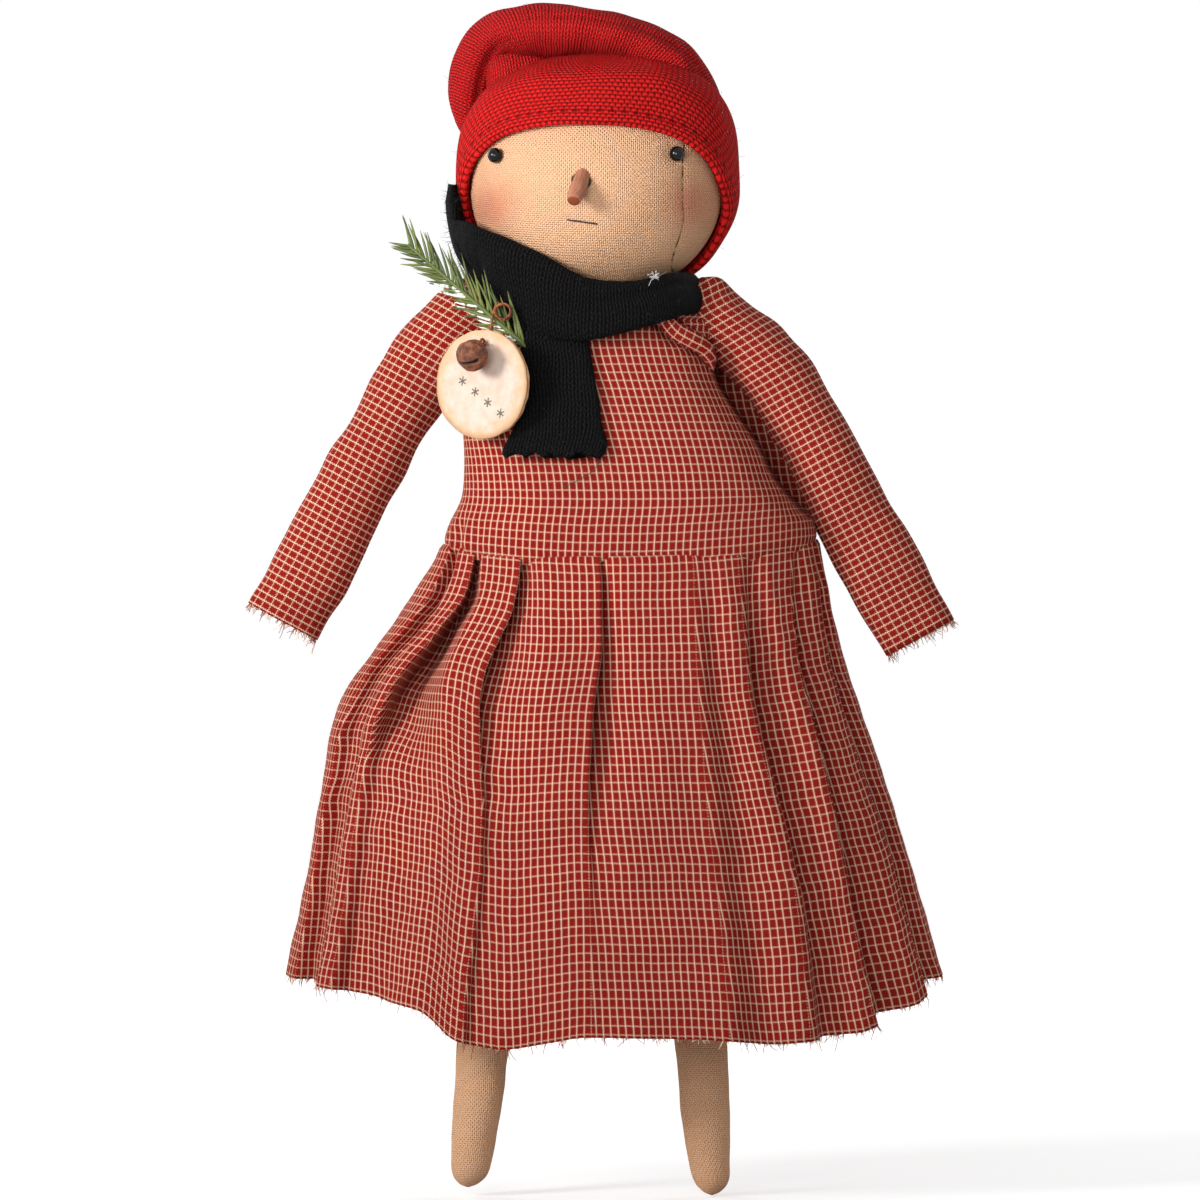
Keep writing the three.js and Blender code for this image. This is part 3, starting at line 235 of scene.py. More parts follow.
def grid_object(name, points, material, uv=None, caps=(False, False), values=None, flip=False):
    """A mesh from rows of points, closed round each row.

    uv has one more column than a row, or is the left and right edges of every column apart.
    """
    rows, cols = points.shape[:2]
    r, c = np.meshgrid(np.arange(rows - 1), np.arange(cols), indexing="ij")
    d = (c + 1) % cols
    quads = np.stack([r * cols + c, r * cols + d, (r + 1) * cols + d, (r + 1) * cols + c], -1)
    if uv is None:
        uv = cloth_uv(points)
    left, right = uv if isinstance(uv, tuple) else (uv[:, :-1], uv[:, 1:])
    corners = np.stack([left[r, c], right[r, c], right[r + 1, c], left[r + 1, c]], -2)
    if flip:
        quads = quads[..., ::-1]
        corners = corners[..., ::-1, :]
    faces = [list(q) for q in quads.reshape(-1, 4)]
    loops = list(corners.reshape(-1, 2))
    for use, row, turned in ((caps[0], 0, not flip), (caps[1], rows - 1, flip)):
        if use:
            ring = [row * cols + k for k in range(cols)]
            loop = [left[row, k] for k in range(cols)]
            faces.append(ring[::-1] if turned else ring)
            loops.extend(loop[::-1] if turned else loop)
    return mesh_object(name, points.reshape(-1, 3), faces, material, np.array(loops), values)


def solid_object(name, points, material, uv=None, values=None, flip=False):
    """A mesh from rows of points, closed at both ends."""
    return grid_object(name, points, material, uv, (True, True), values, flip)


def thicken(obj, thickness, offset=-1.0):
    solid = obj.modifiers.new("thickness", "SOLIDIFY")
    solid.thickness = thickness / 1000
    solid.offset = offset


def strands(name, paths, radii, material, sides=4, tones=None, frosts=None):
    """Many thin tapered tubes as one mesh."""
    verts, faces = [], []
    for path, radius in zip(paths, radii):
        base = len(verts)
        rows = len(path)
        verts.extend(tube(path, radius, sides).reshape(-1, 3))
        for r in range(rows - 1):
            for c in range(sides):
                d = (c + 1) % sides
                low, high = base + r * sides, base + (r + 1) * sides
                faces.append((low + c, low + d, high + d, high + c))
        faces.append(tuple(base + c for c in reversed(range(sides))))
        faces.append(tuple(base + (rows - 1) * sides + c for c in range(sides)))
    counts = [len(path) * sides for path in paths]
    values = {"tone": np.repeat([0.5] * len(paths) if tones is None else tones, counts)}
    if frosts is not None:
        values["frost"] = np.repeat(frosts, counts)
    return mesh_object(name, np.array(verts), faces, material, values=values)


def fit(piece, body, slot, *nodes):
    """Ride a piece on a body in place of the solids that it shows. The slot argument is not used."""
    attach(piece, body)
    if nodes:
        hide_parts(*nodes)

# Materials


class Term:
    """A value in a material's node tree, to write formulas with."""

    def __init__(self, finish, socket):
        self.finish = finish
        self.socket = socket

    def __add__(self, other):
        return self.finish.math("ADD", self, other)

    def __sub__(self, other):
        return self.finish.math("SUBTRACT", self, other)

    def __rsub__(self, other):
        return self.finish.math("SUBTRACT", other, self)

    def __mul__(self, other):
        return self.finish.math("MULTIPLY", self, other)

    def __pow__(self, other):
        return self.finish.math("POWER", self, other)

    def __lt__(self, other):
        return self.finish.math("LESS_THAN", self, other)

    def __abs__(self):
        return self.finish.math("ABSOLUTE", self)

    def fract(self):
        return self.finish.math("FRACT", self)

    def floor(self):
        return self.finish.math("FLOOR", self)

    def sine(self):
        return self.finish.math("SINE", self)

    def root(self):
        return self.finish.math("SQRT", self)

    def clamped(self):
        self.socket.node.use_clamp = True
        return self


class Finish:
    """A node material under construction."""

    def __init__(self, name, roughness=0.9, **sockets):
        self.material = bpy.data.materials.new(name)
        self.material.use_nodes = True
        self.tree = self.material.node_tree
        self.shader = self.tree.nodes["Principled BSDF"]
        self.shader.inputs["Roughness"].default_value = roughness
        for key, value in sockets.items():
            self.shader.inputs[key.replace("_", " ")].default_value = value

    def put(self, socket, value):
        if isinstance(value, Term):
            self.tree.links.new(value.socket, socket)
        else:
            socket.default_value = value

    def node(self, kind, terms=(), output=0, **settings):
        """The output of a new node, with its first sockets filled."""
        node = self.tree.nodes.new(kind)
        for key, value in settings.items():
            setattr(node, key, value)
        for socket, term in zip(node.inputs, terms):
            self.put(socket, term)
        return Term(self, node.outputs[output])

    def math(self, operation, *terms):
        return self.node("ShaderNodeMath", terms, operation=operation)

    def uv(self, scale_u, scale_v):
        parts = self.tree.nodes.new("ShaderNodeSeparateXYZ")
        self.put(parts.inputs[0], self.node("ShaderNodeUVMap", uv_map="cloth"))
        return Term(self, parts.outputs[0]) * scale_u, Term(self, parts.outputs[1]) * scale_v

    def vector(self, x, y):
        return self.node("ShaderNodeCombineXYZ", (x, y))

    def place(self):
        return self.node("ShaderNodeTexCoord", output="Object")

    def attribute(self, name):
        return self.node("ShaderNodeAttribute", output="Fac", attribute_name=name)

    def noise(self, scale, detail=2.0, roughness=0.5, at=None):
        """Noise by the place on the object, or by another vector."""
        node = self.tree.nodes.new("ShaderNodeTexNoise")
        node.inputs["Scale"].default_value = scale
        node.inputs["Detail"].default_value = detail
        node.inputs["Roughness"].default_value = roughness
        self.put(node.inputs["Vector"], at or self.place())
        return Term(self, node.outputs["Fac"])

    def ramp(self, value, low, high, to_low=0.0, to_high=1.0):
        terms = (value, low, high, to_low, to_high)
        return self.node("ShaderNodeMapRange", terms, interpolation_type="SMOOTHSTEP")

    def mix(self, factor, a, b, blend="MIX"):
        node = self.tree.nodes.new("ShaderNodeMix")
        node.data_type = "RGBA"
        node.blend_type = blend
        for socket, value in zip((0, 6, 7), (factor, a, b)):
            self.put(node.inputs[socket], value)
        return Term(self, node.outputs[2])

    def shade(self, colour, factor):
        """The colour times a grey factor."""
        grey = self.node("ShaderNodeCombineColor", (factor, factor, factor))
        return self.mix(1.0, colour, grey, "MULTIPLY")

    def bump(self, height, distance, strength=1.0):
        node = self.tree.nodes.new("ShaderNodeBump")
        node.inputs["Distance"].default_value = distance
        node.inputs["Strength"].default_value = strength
        self.put(node.inputs["Height"], height)
        self.put(self.shader.inputs["Normal"], Term(self, node.outputs[0]))

    def colour(self, colour):
        self.put(self.shader.inputs["Base Color"], colour)
        return self.material


MATT = 0.08  # specular level of cloth
RED = srgb(146, 30, 23)
CREAM = srgb(255, 216, 184)
CHECK = (0.0031, 0.0037)  # metres across and down
CREAM_SHARES = (0.185, 0.155)  # of a check, across and down
CHECK_STEPS = 3  # sideways steps of a cream line in each check
CHECK_YARNS = 4  # pairs of yarns in each check
LINEN = srgb(244, 194, 154)
LINEN_DARK = srgb(164, 108, 68)
BLUSH = srgb(196, 96, 78)
SEAM_BROWN = srgb(60, 38, 22)
TWILL = 0.0009  # metres between the ribs of the linen
EYELET_STEP = 0.0056
EYELET_TALL = 0.0014


def checked_cotton():
    """Homespun check: cream yarns in a red ground, plain woven both ways."""
    f = Finish("checked_cotton", 0.95, Specular_IOR_Level=MATT)
    u, v = f.uv(1 / CHECK[0], 1 / CHECK[1])
    drift = f.noise(70.0) * 0.16 - 0.08
    u = u + drift
    v = v + drift
    step_u = (v * CHECK_STEPS).fract() < 0.5
    step_v = (u * CHECK_STEPS).fract() < 0.5
    warp = (step_u * 0.08 + u).fract() < CREAM_SHARES[0]
    weft = (step_v * 0.06 + v).fract() < CREAM_SHARES[1]
    column = (u * CHECK_YARNS).fract() < 0.5
    row = (v * CHECK_YARNS).fract() < 0.5
    over = abs(column - row)
    under = 1.0 - over
    cream = (warp * (over * 0.55 + 0.42) + weft * (under * 0.62 + 0.1)).clamped()
    round_u = abs((u * (TURN * CHECK_YARNS)).sine())
    round_v = abs((v * (TURN * CHECK_YARNS)).sine())
    yarn = f.math("MAXIMUM", over * round_u, under * round_v)
    slub = f.noise(1.0, at=f.vector(u * 8, v * 0.6))
    wash = f.noise(28.0, 3)
    # Each yarn is lighter on its crown and darker at its sides, a painted shade of its roundness, with random
    # slubs and washes on top.
    level = yarn * 0.34 + 0.62 + slub * 0.34 + (wash * 0.24 - 0.12)
    f.bump(yarn + cream * 0.4, 0.0002, 0.8)
    return f.colour(f.shade(f.mix(cream, RED, CREAM), level))


def linen(name, face=False):
    """Tea-stained twill with slubs, and on the face the blush and the sewn seam that its mesh gives."""
    f = Finish(name, 0.95, Specular_IOR_Level=MATT)
    u, v = f.uv(1 / TWILL, 1 / TWILL)
    grid = ((u * TURN).sine() + (v * TURN).sine()) * 0.42
    weave = ((u + v) * math.pi).sine() * 0.35 + grid
    fleck = f.noise(0.9, 3, 0.65, f.vector(u, v * 0.45))
    stain = f.noise(22.0, 3)
    mixed = (weave * 0.32 - 0.02 + fleck * 0.46 + (stain * 0.3 - 0.15)).clamped()
    colour = f.mix(mixed, LINEN, LINEN_DARK)
    if face:
        colour = f.mix(f.attribute("blush") * 0.55, colour, BLUSH)
        line = f.ramp(abs(f.attribute("seam")), 0.15, 0.4, 1.0, 0.0)
        stitch = (f.noise(420.0, 1) * 2.2 - 0.5).clamped()
        colour = f.mix(line * stitch, colour, SEAM_BROWN)
    f.bump(weave + fleck, 0.0003)
    return f.colour(colour)


def knit_loops(u, v):
    """Height of the right side of stocking stitch, from cloth coordinates in stitches."""
    x = abs(u.fract() - 0.5)
    leg = (x - 0.25) * 4.0
    t = (v - x * 1.7).fract() - 0.5
    along = 1.0 - t * t * 4.0
    return (1.0 - leg * leg) * (along * 0.75 + 0.25)


def purl_loops(f, u, v):
    """Height of its wrong side."""
    x = (u + (v.floor() * 0.5).fract()).fract() - 0.5
    t = (v + x * x * 1.1).fract() - 0.5
    end = f.ramp(abs(x), 0.22, 0.5, 1.0, 0.0)
    return (1.0 - t * t * 4.0) * (end * 0.75 + 0.25)


def knit(name, base, deep, wale, course, depth, gap, fibre=0.35, eyelets=None):
    """Stocking stitch, or its wrong side with a row of eyelets at a height. The colour runs from deep between
    the loops and in the eyelets, a painted shade, to base on the loops' crowns.
    """
    f = Finish(name, 0.95, Specular_IOR_Level=MATT)
    u, v = f.uv(1 / wale, 1 / course)
    v = v + f.noise(60.0) * 0.9
    u = u + f.noise(95.0) * 0.7
    height = purl_loops(f, u, v) if eyelets else knit_loops(u, v)
    hair = f.noise(1.6, 3, 0.7, f.vector(u * 5, v * 2.2))
    if eyelets:
        across, up = f.uv(1 / EYELET_STEP, 1 / EYELET_TALL)
        side = f.ramp(abs(across.fract() - 0.5), 0.1, 0.2, 1.0, 0.0)
        tall = f.ramp(abs(up - eyelets / EYELET_TALL), 0.35, 0.65, 1.0, 0.0)
        height = height * (side * tall * -0.95 + 1.0)
    # Painted shade: deep in the hollows between loops and in the eyelets, base on the crowns, with random
    # hairs lighter or darker.
    level = f.math("MAXIMUM", height, 0.0) ** gap + (hair * fibre - fibre / 2)
    f.bump(height + hair * 0.4, depth, 0.9)
    return f.colour(f.mix(level.clamped(), deep, base))


def gloss_bead():
    f = Finish("black_bead", 0.06, IOR=1.35)
    return f.colour(f.mix(f.noise(900.0), srgb(3, 3, 4), srgb(9, 8, 8)))


def stained_wood():
    f = Finish("stained_wood", 0.62)
    grain = f.noise(1.0, 4, 0.6, f.vector(*f.uv(900.0, 90.0)))
    colour = f.mix(f.ramp(grain, 0.3, 0.7), srgb(186, 126, 96), srgb(148, 90, 64))
    f.bump(grain, 0.0001, 0.6)
    return f.colour(f.mix(f.attribute("tip"), colour, srgb(128, 58, 24)))


def dark_thread():
    f = Finish("dark_thread", 0.8)
    return f.colour(f.mix(f.noise(1500.0), srgb(30, 22, 18), srgb(64, 50, 42)))


def loose_yarn():
    f = Finish("loose_yarn", Sheen_Weight=0.2)
    colour = f.mix(f.ramp(f.attribute("tone"), 0.55, 0.6), RED, CREAM)
    return f.colour(f.shade(colour, f.noise(700.0) * 0.5 + 0.65))


def loose_fibre(name, dark, light):
    f = Finish(name)
    colour = f.mix(f.ramp(f.attribute("tone"), 0.5, 1.0), dark, light)
    return f.colour(f.shade(colour, f.noise(900.0) * 0.6 + 0.7))


def aged_card():
    """Cream card, mottled, browner towards the rim. Its cloth coordinates are from the disc's middle."""
    f = Finish("aged_card", 0.82)
    u, v = f.uv(1000.0, 1000.0)
    away = (u * u + v * v).root()
    cloud = f.noise(0.16, 5, 0.65, f.vector(u, v))
    speck = f.noise(2.2, 3, 0.7, f.vector(u, v))
    rim = f.ramp(away + cloud * 9.0, 19.5, 28.5)
    colour = f.mix(f.ramp(cloud, 0.35, 0.7), srgb(212, 191, 177), srgb(201, 175, 154))
    colour = f.mix(rim * 0.75, colour, srgb(206, 160, 112))
    colour = f.mix(f.attribute("edge") * 0.6, colour, srgb(168, 124, 80))
    colour = f.mix(f.ramp(speck, 0.68, 0.76), colour, srgb(190, 150, 110))
    f.bump(speck, 0.00005, 0.5)
    return f.colour(colour)


def ink():
    f = Finish("grey_ink", 0.8)
    return f.colour(f.mix(f.noise(900.0, 3), srgb(58, 54, 50), srgb(120, 112, 102)))


def rust(name, light, dark, metal):
    """Rusted iron, with painted shade darkening it where the mesh has a slit."""
    f = Finish(name, 0.75, Metallic=metal)
    spread = f.noise(260.0, 5, 0.65)
    grit = f.noise(1400.0, 3, 0.7)
    colour = f.mix(f.ramp(spread, 0.38, 0.64), dark, light)
    colour = f.mix(f.ramp(grit, 0.55, 0.75, 0.0, 0.55), colour, srgb(176, 110, 74))
    f.bump(grit + spread, 0.00025, 0.7)
    # Painted shade in the slit.
    return f.colour(f.mix(f.attribute("slit"), colour, srgb(24, 14, 10)))


def spruce():
    """Green needles, white in patches where the mesh has frost."""
    f = Finish("spruce_needles", 0.55)
    colour = f.mix(f.attribute("tone"), srgb(50, 70, 28), srgb(118, 126, 58))
    colour = f.shade(colour, f.noise(420.0, 3) * 0.7 + 0.62)
    patch = f.attribute("frost") * f.ramp(f.noise(300.0, 3), 0.4, 0.5)
    return f.colour(f.mix(patch, colour, srgb(240, 242, 236)))


check_cloth = checked_cotton()
head_linen = linen("head_linen", face=True)
leg_linen = linen("leg_linen")
# The second colour of each knit is the painted shade in its hollows.
cap_knit = knit("cap_knit", srgb(224, 42, 42), srgb(78, 5, 6), 0.0027, 0.0019, 0.0011, 0.65)
cuff_knit = knit("cuff_knit", srgb(222, 36, 34), srgb(72, 5, 6), 0.0028, 0.0018, 0.001, 0.6, eyelets=0.0042)
scarf_knit = knit("scarf_knit", srgb(30, 29, 30), srgb(2, 2, 2), 0.003, 0.0024, 0.0018, 0.9, fibre=1.0)
bead_black = gloss_bead()
peg_wood = stained_wood()
thread_dark = dark_thread()
yarn_loose = loose_yarn()
fibre_black = loose_fibre("black_fibre", srgb(4, 4, 4), srgb(40, 39, 39))
fibre_red = loose_fibre("red_fibre", srgb(150, 10, 18), srgb(225, 60, 66))
fibre_white = loose_fibre("white_fibre", srgb(225, 222, 216), srgb(248, 247, 244))
card_aged = aged_card()
ink_grey = ink()
rust_brown = rust("rust", srgb(150, 88, 54), srgb(82, 46, 32), metal=0.15)
wire_brown = rust("rusty_wire", srgb(178, 104, 62), srgb(104, 54, 32), metal=0.35)
needle_green = spruce()

# Head

HEAD_Z = 428.7
HEAD_A = 54.0  # half width
HEAD_B = 48.0  # half depth
HEAD_UP = 52.0
HEAD_DOWN = 46.0
HEAD_CUT = -44.6  # where it ends over the neck, from its middle
HEAD_MEAN_R = 50.0  # for the cloth's length from crown to neck
HEAD_YAW = math.radians(-8)
SEAM_X = 41.0
SEAM_BEND = 8.0
SEAM_BEND_START = -12.0
SEAM_BEND_DROP = 28.0
EYE_DEGREES = 46
EYE_RISE = 13.0
EYE_OUT = 1.5
EYE_R = 3.25
NOSE_RISE = 1.2
NOSE_DROOP = math.radians(42)
NOSE_ROOT = -6.0
NOSE_LENGTH = 14.0
NOSE_HOLE_R = 3.9
NOSE_HOLE_BACK = 0.9  # how far the ring of painted shadow round the nose lies under the skin
NOSE_HOLE_SHADOW_R = 0.55
MOUTH_HALF = 7.4  # degrees
MOUTH_RISE = -16.0
MOUTH_TILT = 0.13
MOUTH_OUT = 0.35
MOUTH_THREAD = 0.34
SKIN_WAVE = 34
SKIN_UNEVEN = 0.45
SEAM_DENT = 0.4
SEAM_DENT_WIDTH = 1.1
BLUSH_SPOTS = ((490, 208, 10.5), (689, 205, 9.5))  # pixel of the photograph, and reach in millimetres


def head_world(local):
    """Head points to doll millimetres: turned a little to the left, at the head's height."""
    local = np.asarray(local, float)
    c, s = math.cos(HEAD_YAW), math.sin(HEAD_YAW)
    x = local[..., 0] * c - local[..., 1] * s
    y = local[..., 0] * s + local[..., 1] * c
    return np.stack([x, y, local[..., 2] + HEAD_Z], -1)


def head_surface(azimuth, polar, grow=0.0):
    """A point on the head by its angle from the face's middle and its angle from the crown."""
    tall = np.where(np.cos(polar) > 0, HEAD_UP, HEAD_DOWN) + grow
    x = (HEAD_A + grow) * np.sin(polar) * np.sin(azimuth)
    y = -(HEAD_B + grow) * np.sin(polar) * np.cos(azimuth)
    return np.stack([x, y, tall * np.cos(polar)], -1)


def on_head(degrees, rise, grow=0.0):
    tall = (HEAD_UP if rise > 0 else HEAD_DOWN) + grow
    return head_surface(math.radians(degrees), math.acos(rise / tall), grow)


def circle(centre, first, second, radius, count):
    """Points once round a circle, the last on the first."""
    turn = np.linspace(0, TURN, count)[:, None]
    return centre + radius * (np.cos(turn) * first + np.sin(turn) * second)


eye_spots = {name: on_head(side * EYE_DEGREES, EYE_RISE, EYE_OUT) for name, side in SIDES}
nose_spot = on_head(0, NOSE_RISE)
head_polars = np.linspace(0.03, math.acos(HEAD_CUT / HEAD_DOWN), 120)
head_turns = around(220, -math.pi)
polar, azimuth = np.meshgrid(head_polars, head_turns, indexing="ij")
skin = head_surface(azimuth, polar)
outward = unit(skin / np.array([HEAD_A**2, HEAD_B**2, HEAD_UP**2]))
push = SKIN_UNEVEN * ripple(skin, SKIN_WAVE, 3)
# Dents where the eyes and the nose are drawn in, and along the seam: depth and reach.
dents = [(spot, 1.0, 5.0) for spot in eye_spots.values()] + [(nose_spot, 1.1, 8.0)]
for spot, depth, reach in dents:
    push -= depth * bell_curve(np.linalg.norm(skin - spot, axis=-1), reach)
seam_bend = SEAM_BEND * smooth((SEAM_BEND_START - skin[..., 2]) / SEAM_BEND_DROP)
from_seam = skin[..., 0] - SEAM_X + seam_bend
push -= SEAM_DENT * bell_curve(from_seam, SEAM_DENT_WIDTH)
skin = head_world(skin + outward * push[..., None])
latitude = math.pi / 2 - head_polars[:, None]
across = HEAD_A * np.cos(latitude) * np.append(head_turns, math.pi)
head_uv = np.stack(np.broadcast_arrays(across, latitude * HEAD_MEAN_R), -1) / 1000
blush = np.zeros(polar.shape)
for px, py, reach in BLUSH_SPOTS:
    away = np.linalg.norm(skin[..., [0, 2]] - photo(px, py), axis=-1)
    blush = np.maximum(blush, bell_curve(away, reach) * (skin[..., 1] < 0))
face_values = {"blush": blush, "seam": from_seam}
head = solid_object("head_cover", skin, head_linen, head_uv, face_values, flip=True)
head_nodes = ("head_centre_panel", "head_side_panel_left", "head_side_panel_right", "head_stuffing")
fit(head, "head", "linen", *head_nodes)

for name, spot in eye_spots.items():
    bead = ball(24, 32, 0.04)[..., [0, 2, 1]] * EYE_R + head_world(spot)
    fit(solid_object(f"bead_{name}", bead, bead_black), "head", "black_bead", f"eye_{name}")

nose_line = unit(np.array([-0.13, -math.cos(NOSE_DROOP), -math.sin(NOSE_DROOP)]))
# Distance along the peg from the skin, and radius.
nose_shape = [(NOSE_ROOT, 3.3), (2.0, 3.4), (6.0, 3.6), (11.0, 3.3)]
nose_shape += [(NOSE_LENGTH + s, r) for s, r in ((-0.7, 2.8), (-0.2, 2.4), (0.0, 1.7), (0.02, 0.05))]
nose_end = NOSE_LENGTH + np.array([-0.5, -0.2, -0.05, 0.0, 0.02])
along = np.append(np.linspace(NOSE_ROOT, NOSE_LENGTH - 0.8, 24), nose_end)
thick = np.interp(along, *np.array(nose_shape).T)
nose_path = head_world(nose_spot + nose_line * along[:, None])
nose_rings = tube(nose_path, thick, 28)
nose_out = (nose_rings - nose_path[:, None]) / thick[:, None, None]
nose_rings += (0.12 * ripple(nose_rings, 7, 5))[..., None] * nose_out
tip = np.broadcast_to((along > NOSE_LENGTH - 0.4).astype(float)[:, None], nose_rings.shape[:2])
nose = solid_object("peg_nose", nose_rings, peg_wood, values={"tip": tip})
fit(nose, "head", "stained_wood", "nose_peg")

# A thin dark ring round the nose's root, in the dark thread: a painted shadow of the hole that the peg sits
# in.
hole_side = unit(np.cross(nose_line, RIGHT))
hole_shadow_ring = circle(nose_spot, hole_side, np.cross(nose_line, hole_side), NOSE_HOLE_R, 49)
flatness = 1 - (hole_shadow_ring[:, 0] / HEAD_A) ** 2 - (hole_shadow_ring[:, 2] / HEAD_UP) ** 2
hole_shadow_ring[:, 1] = -(HEAD_B - NOSE_HOLE_BACK) * np.sqrt(flatness)
hole_shadow_tube = tube(head_world(hole_shadow_ring), NOSE_HOLE_SHADOW_R, 8)
fit(grid_object("nose_hole_painted_shadow", hole_shadow_tube, thread_dark), "head", "thread")

mouth_degrees = np.linspace(-MOUTH_HALF, MOUTH_HALF, 30)
mouth_spots = [on_head(a, MOUTH_RISE - MOUTH_TILT * a, MOUTH_OUT) for a in mouth_degrees]
for end, side in ((0, -1), (-1, 1)):
    mouth_spots[end] = on_head(side * (MOUTH_HALF + 0.1), MOUTH_RISE - side, -1.0)
mouth = solid_object("mouth_thread", tube(head_world(mouth_spots), MOUTH_THREAD, 8), thread_dark)
fit(mouth, "head", "thread", "mouth_stitch")

# Cap

KNIT = 4.7  # thickness
BRIM_FRONT = 27.0
BRIM_BACK = -41.0
CAP_GIRTH = 0.3486  # metres
CAP_TALL = 0.075  # metres
CAP_POWER = 2.6  # of the dome's roundness, 2 being a circle
CAP_POWER_RIGHT = 0.7  # more of it at the right
# How far the brim has come down, by the share of the way from front to back.
brim_fall = [(0, 0), (0.1, 0.025), (0.21, 0.11), (0.29, 0.22), (0.365, 0.36), (0.48, 0.56), (0.55, 0.72)]
brim_fall += [(0.62, 0.88), (0.75, 1), (1, 1)]


def brim_height(y):
    share = np.clip((y / (HEAD_B + KNIT) + 1) / 2, 0, 1)
    return BRIM_FRONT + (BRIM_BACK - BRIM_FRONT) * table(brim_fall, share)


def brim_polar(azimuth, grow):
    """The angle from the crown at which the cap ends, at each azimuth, by halving."""
    low = np.full(azimuth.shape, 0.3)
    high = np.full(azimuth.shape, 2.7)
    for _ in range(40):
        middle = (low + high) / 2
        at = head_surface(azimuth, middle, grow)
        above = at[..., 2] > brim_height(at[..., 1])
        low = np.where(above, middle, low)
        high = np.where(above, high, middle)
    return (low + high) / 2


# Rows of the cap: share of the way from brim to crown, and distance out from the head.
cap_rows = [(0.10, 0.6), (0.06, 0.7), (0.02, 0.9), (-0.012, 1.6), (-0.024, 3.0), (-0.016, 4.6), (0.008, 5.6)]
cap_rows += [(s, 5.8 + 1.2 * math.sin(math.pi * min(s / 0.5, 1.0))) for s in np.linspace(0.03, 0.5, 34)]
cap_rows += [(s, 5.6) for s in np.linspace(0.53, 0.985, 26)]
share, grow = np.array(cap_rows).T[..., None]
cap_azimuth = around(260, -math.pi)
cap_polar = brim_polar(cap_azimuth, KNIT / 2) * (1 - share)
# The dome is squarer than the head, most of all at its right.
power = CAP_POWER + CAP_POWER_RIGHT * smooth(np.sin(cap_azimuth))
square = (np.abs(np.sin(cap_polar)) ** power + np.abs(np.cos(cap_polar)) ** power) ** (-1 / power)
square = 1 + (square - 1) * (np.cos(cap_polar) > 0) * smooth(share / 0.3)
cap_points = head_surface(cap_azimuth, cap_polar, grow) * square[..., None]
cap_points += (0.5 * ripple(cap_points, 26, 11))[..., None] * cap_points / 60
across = np.append(cap_azimuth, math.pi) / TURN * CAP_GIRTH
cap_uv = np.stack(np.broadcast_arrays(across, share * CAP_TALL), -1)
cap = grid_object("knitted_cap", head_world(cap_points), cuff_knit, cap_uv, caps=(False, True))


def knitted_roll(name, keys, rows, columns, creases, seed):
    """A soft roll from its upper and lower edge in the photograph, its middle's Y and its half depth."""
    edges = spline([(*photo(a, b), *photo(c, d), y, deep) for a, b, c, d, y, deep in keys], rows)
    upper, lower = edges[:, :2], edges[:, 2:4]
    middle, half = (upper + lower) / 2, (upper - lower) / 2
    path = np.stack([middle[:, 0], edges[:, 4], middle[:, 1]], -1)
    rise = np.stack([half[:, 0], np.zeros(rows), half[:, 1]], -1)
    spin = around(columns)
    share = np.linspace(0, 1, rows)[:, None]
    shape = np.ones((rows, columns))
    for at, slope, depth, breadth, start, stop in creases:
        line = bell_curve(spin - at - slope * (share - 0.5), breadth)
        shape -= depth * line * smooth((share - start) * 8) * smooth((stop - share) * 8)
    back = BACK * (edges[:, 5:6] * np.cos(spin) * shape)[..., None]
    points = path[:, None] + back + rise[:, None] * (np.sin(spin) * shape)[..., None]
    points += (0.6 * ripple(points, 22, seed))[..., None] * (points - path[:, None]) / 12
    return solid_object(name, points, cap_knit, cloth_uv(points, columns // 2)[..., ::-1])


tail_keys = [
    (727, 114, 704, 142, 2, 12),
    (717, 82, 676, 108, 1, 20),
    (693, 44, 652, 80, -1, 25),
    (646, 19, 622, 62, -2, 25),
    (592, 6, 582, 57, -2, 25),
    (547, 1, 548, 57, 0, 24),
    (503, 5, 524, 56, 3, 22),
    (470, 23, 508, 56, 8, 18),
    (452, 54, 494, 72, 12, 14),
    (447, 86, 486, 104, 14, 12),
    (454, 117, 476, 128, 14, 8),
    (464, 136, 469, 138, 13, 2),
]
# Creases: where round the roll, slope along it, depth and breadth, and from where to where along it.
tail_creases = [(3.5, 0.6, 0.10, 0.20, 0.55, 0.95), (2.7, 0.5, 0.07, 0.14, 0.05, 0.55)]
cap_tail = knitted_roll("cap_tail", tail_keys, 150, 110, tail_creases, 13)
fold_keys = [
    (484, 50, 487, 108, 5, 2),
    (489, 48, 495, 102, 4, 8),
    (502, 46, 508, 94, 4, 12),
    (520, 45, 526, 86, 5, 13),
    (537, 46, 542, 80, 6, 12),
    (553, 51, 558, 74, 8, 9),
    (568, 60, 570, 70, 10, 3),
]
cap_fold = knitted_roll("cap_fold", fold_keys, 60, 64, [], 14)
for piece, nodes in ((cap, ["hat"]), (cap_tail, []), (cap_fold, [])):
    fit(piece, "head", "red_knit", *nodes)

# Dress: bodice

WAIST_Z = 272.0
WAIST_SAG = 7.0
WAIST_LOWEST = 8.0  # X
WAIST_HALF = 82.0
BODICE_COLUMNS = 280
BODICE_THICK = 0.8
GATHER_DEGREES = -155
GATHERS = 26
UNDER_ARM = (281.0, 368.0)  # heights between which the right side turns in
UNDER_ARM_EASE = 9.0
TURN_IN_Y = 13.0
TURN_IN_WIDTH = 4.0
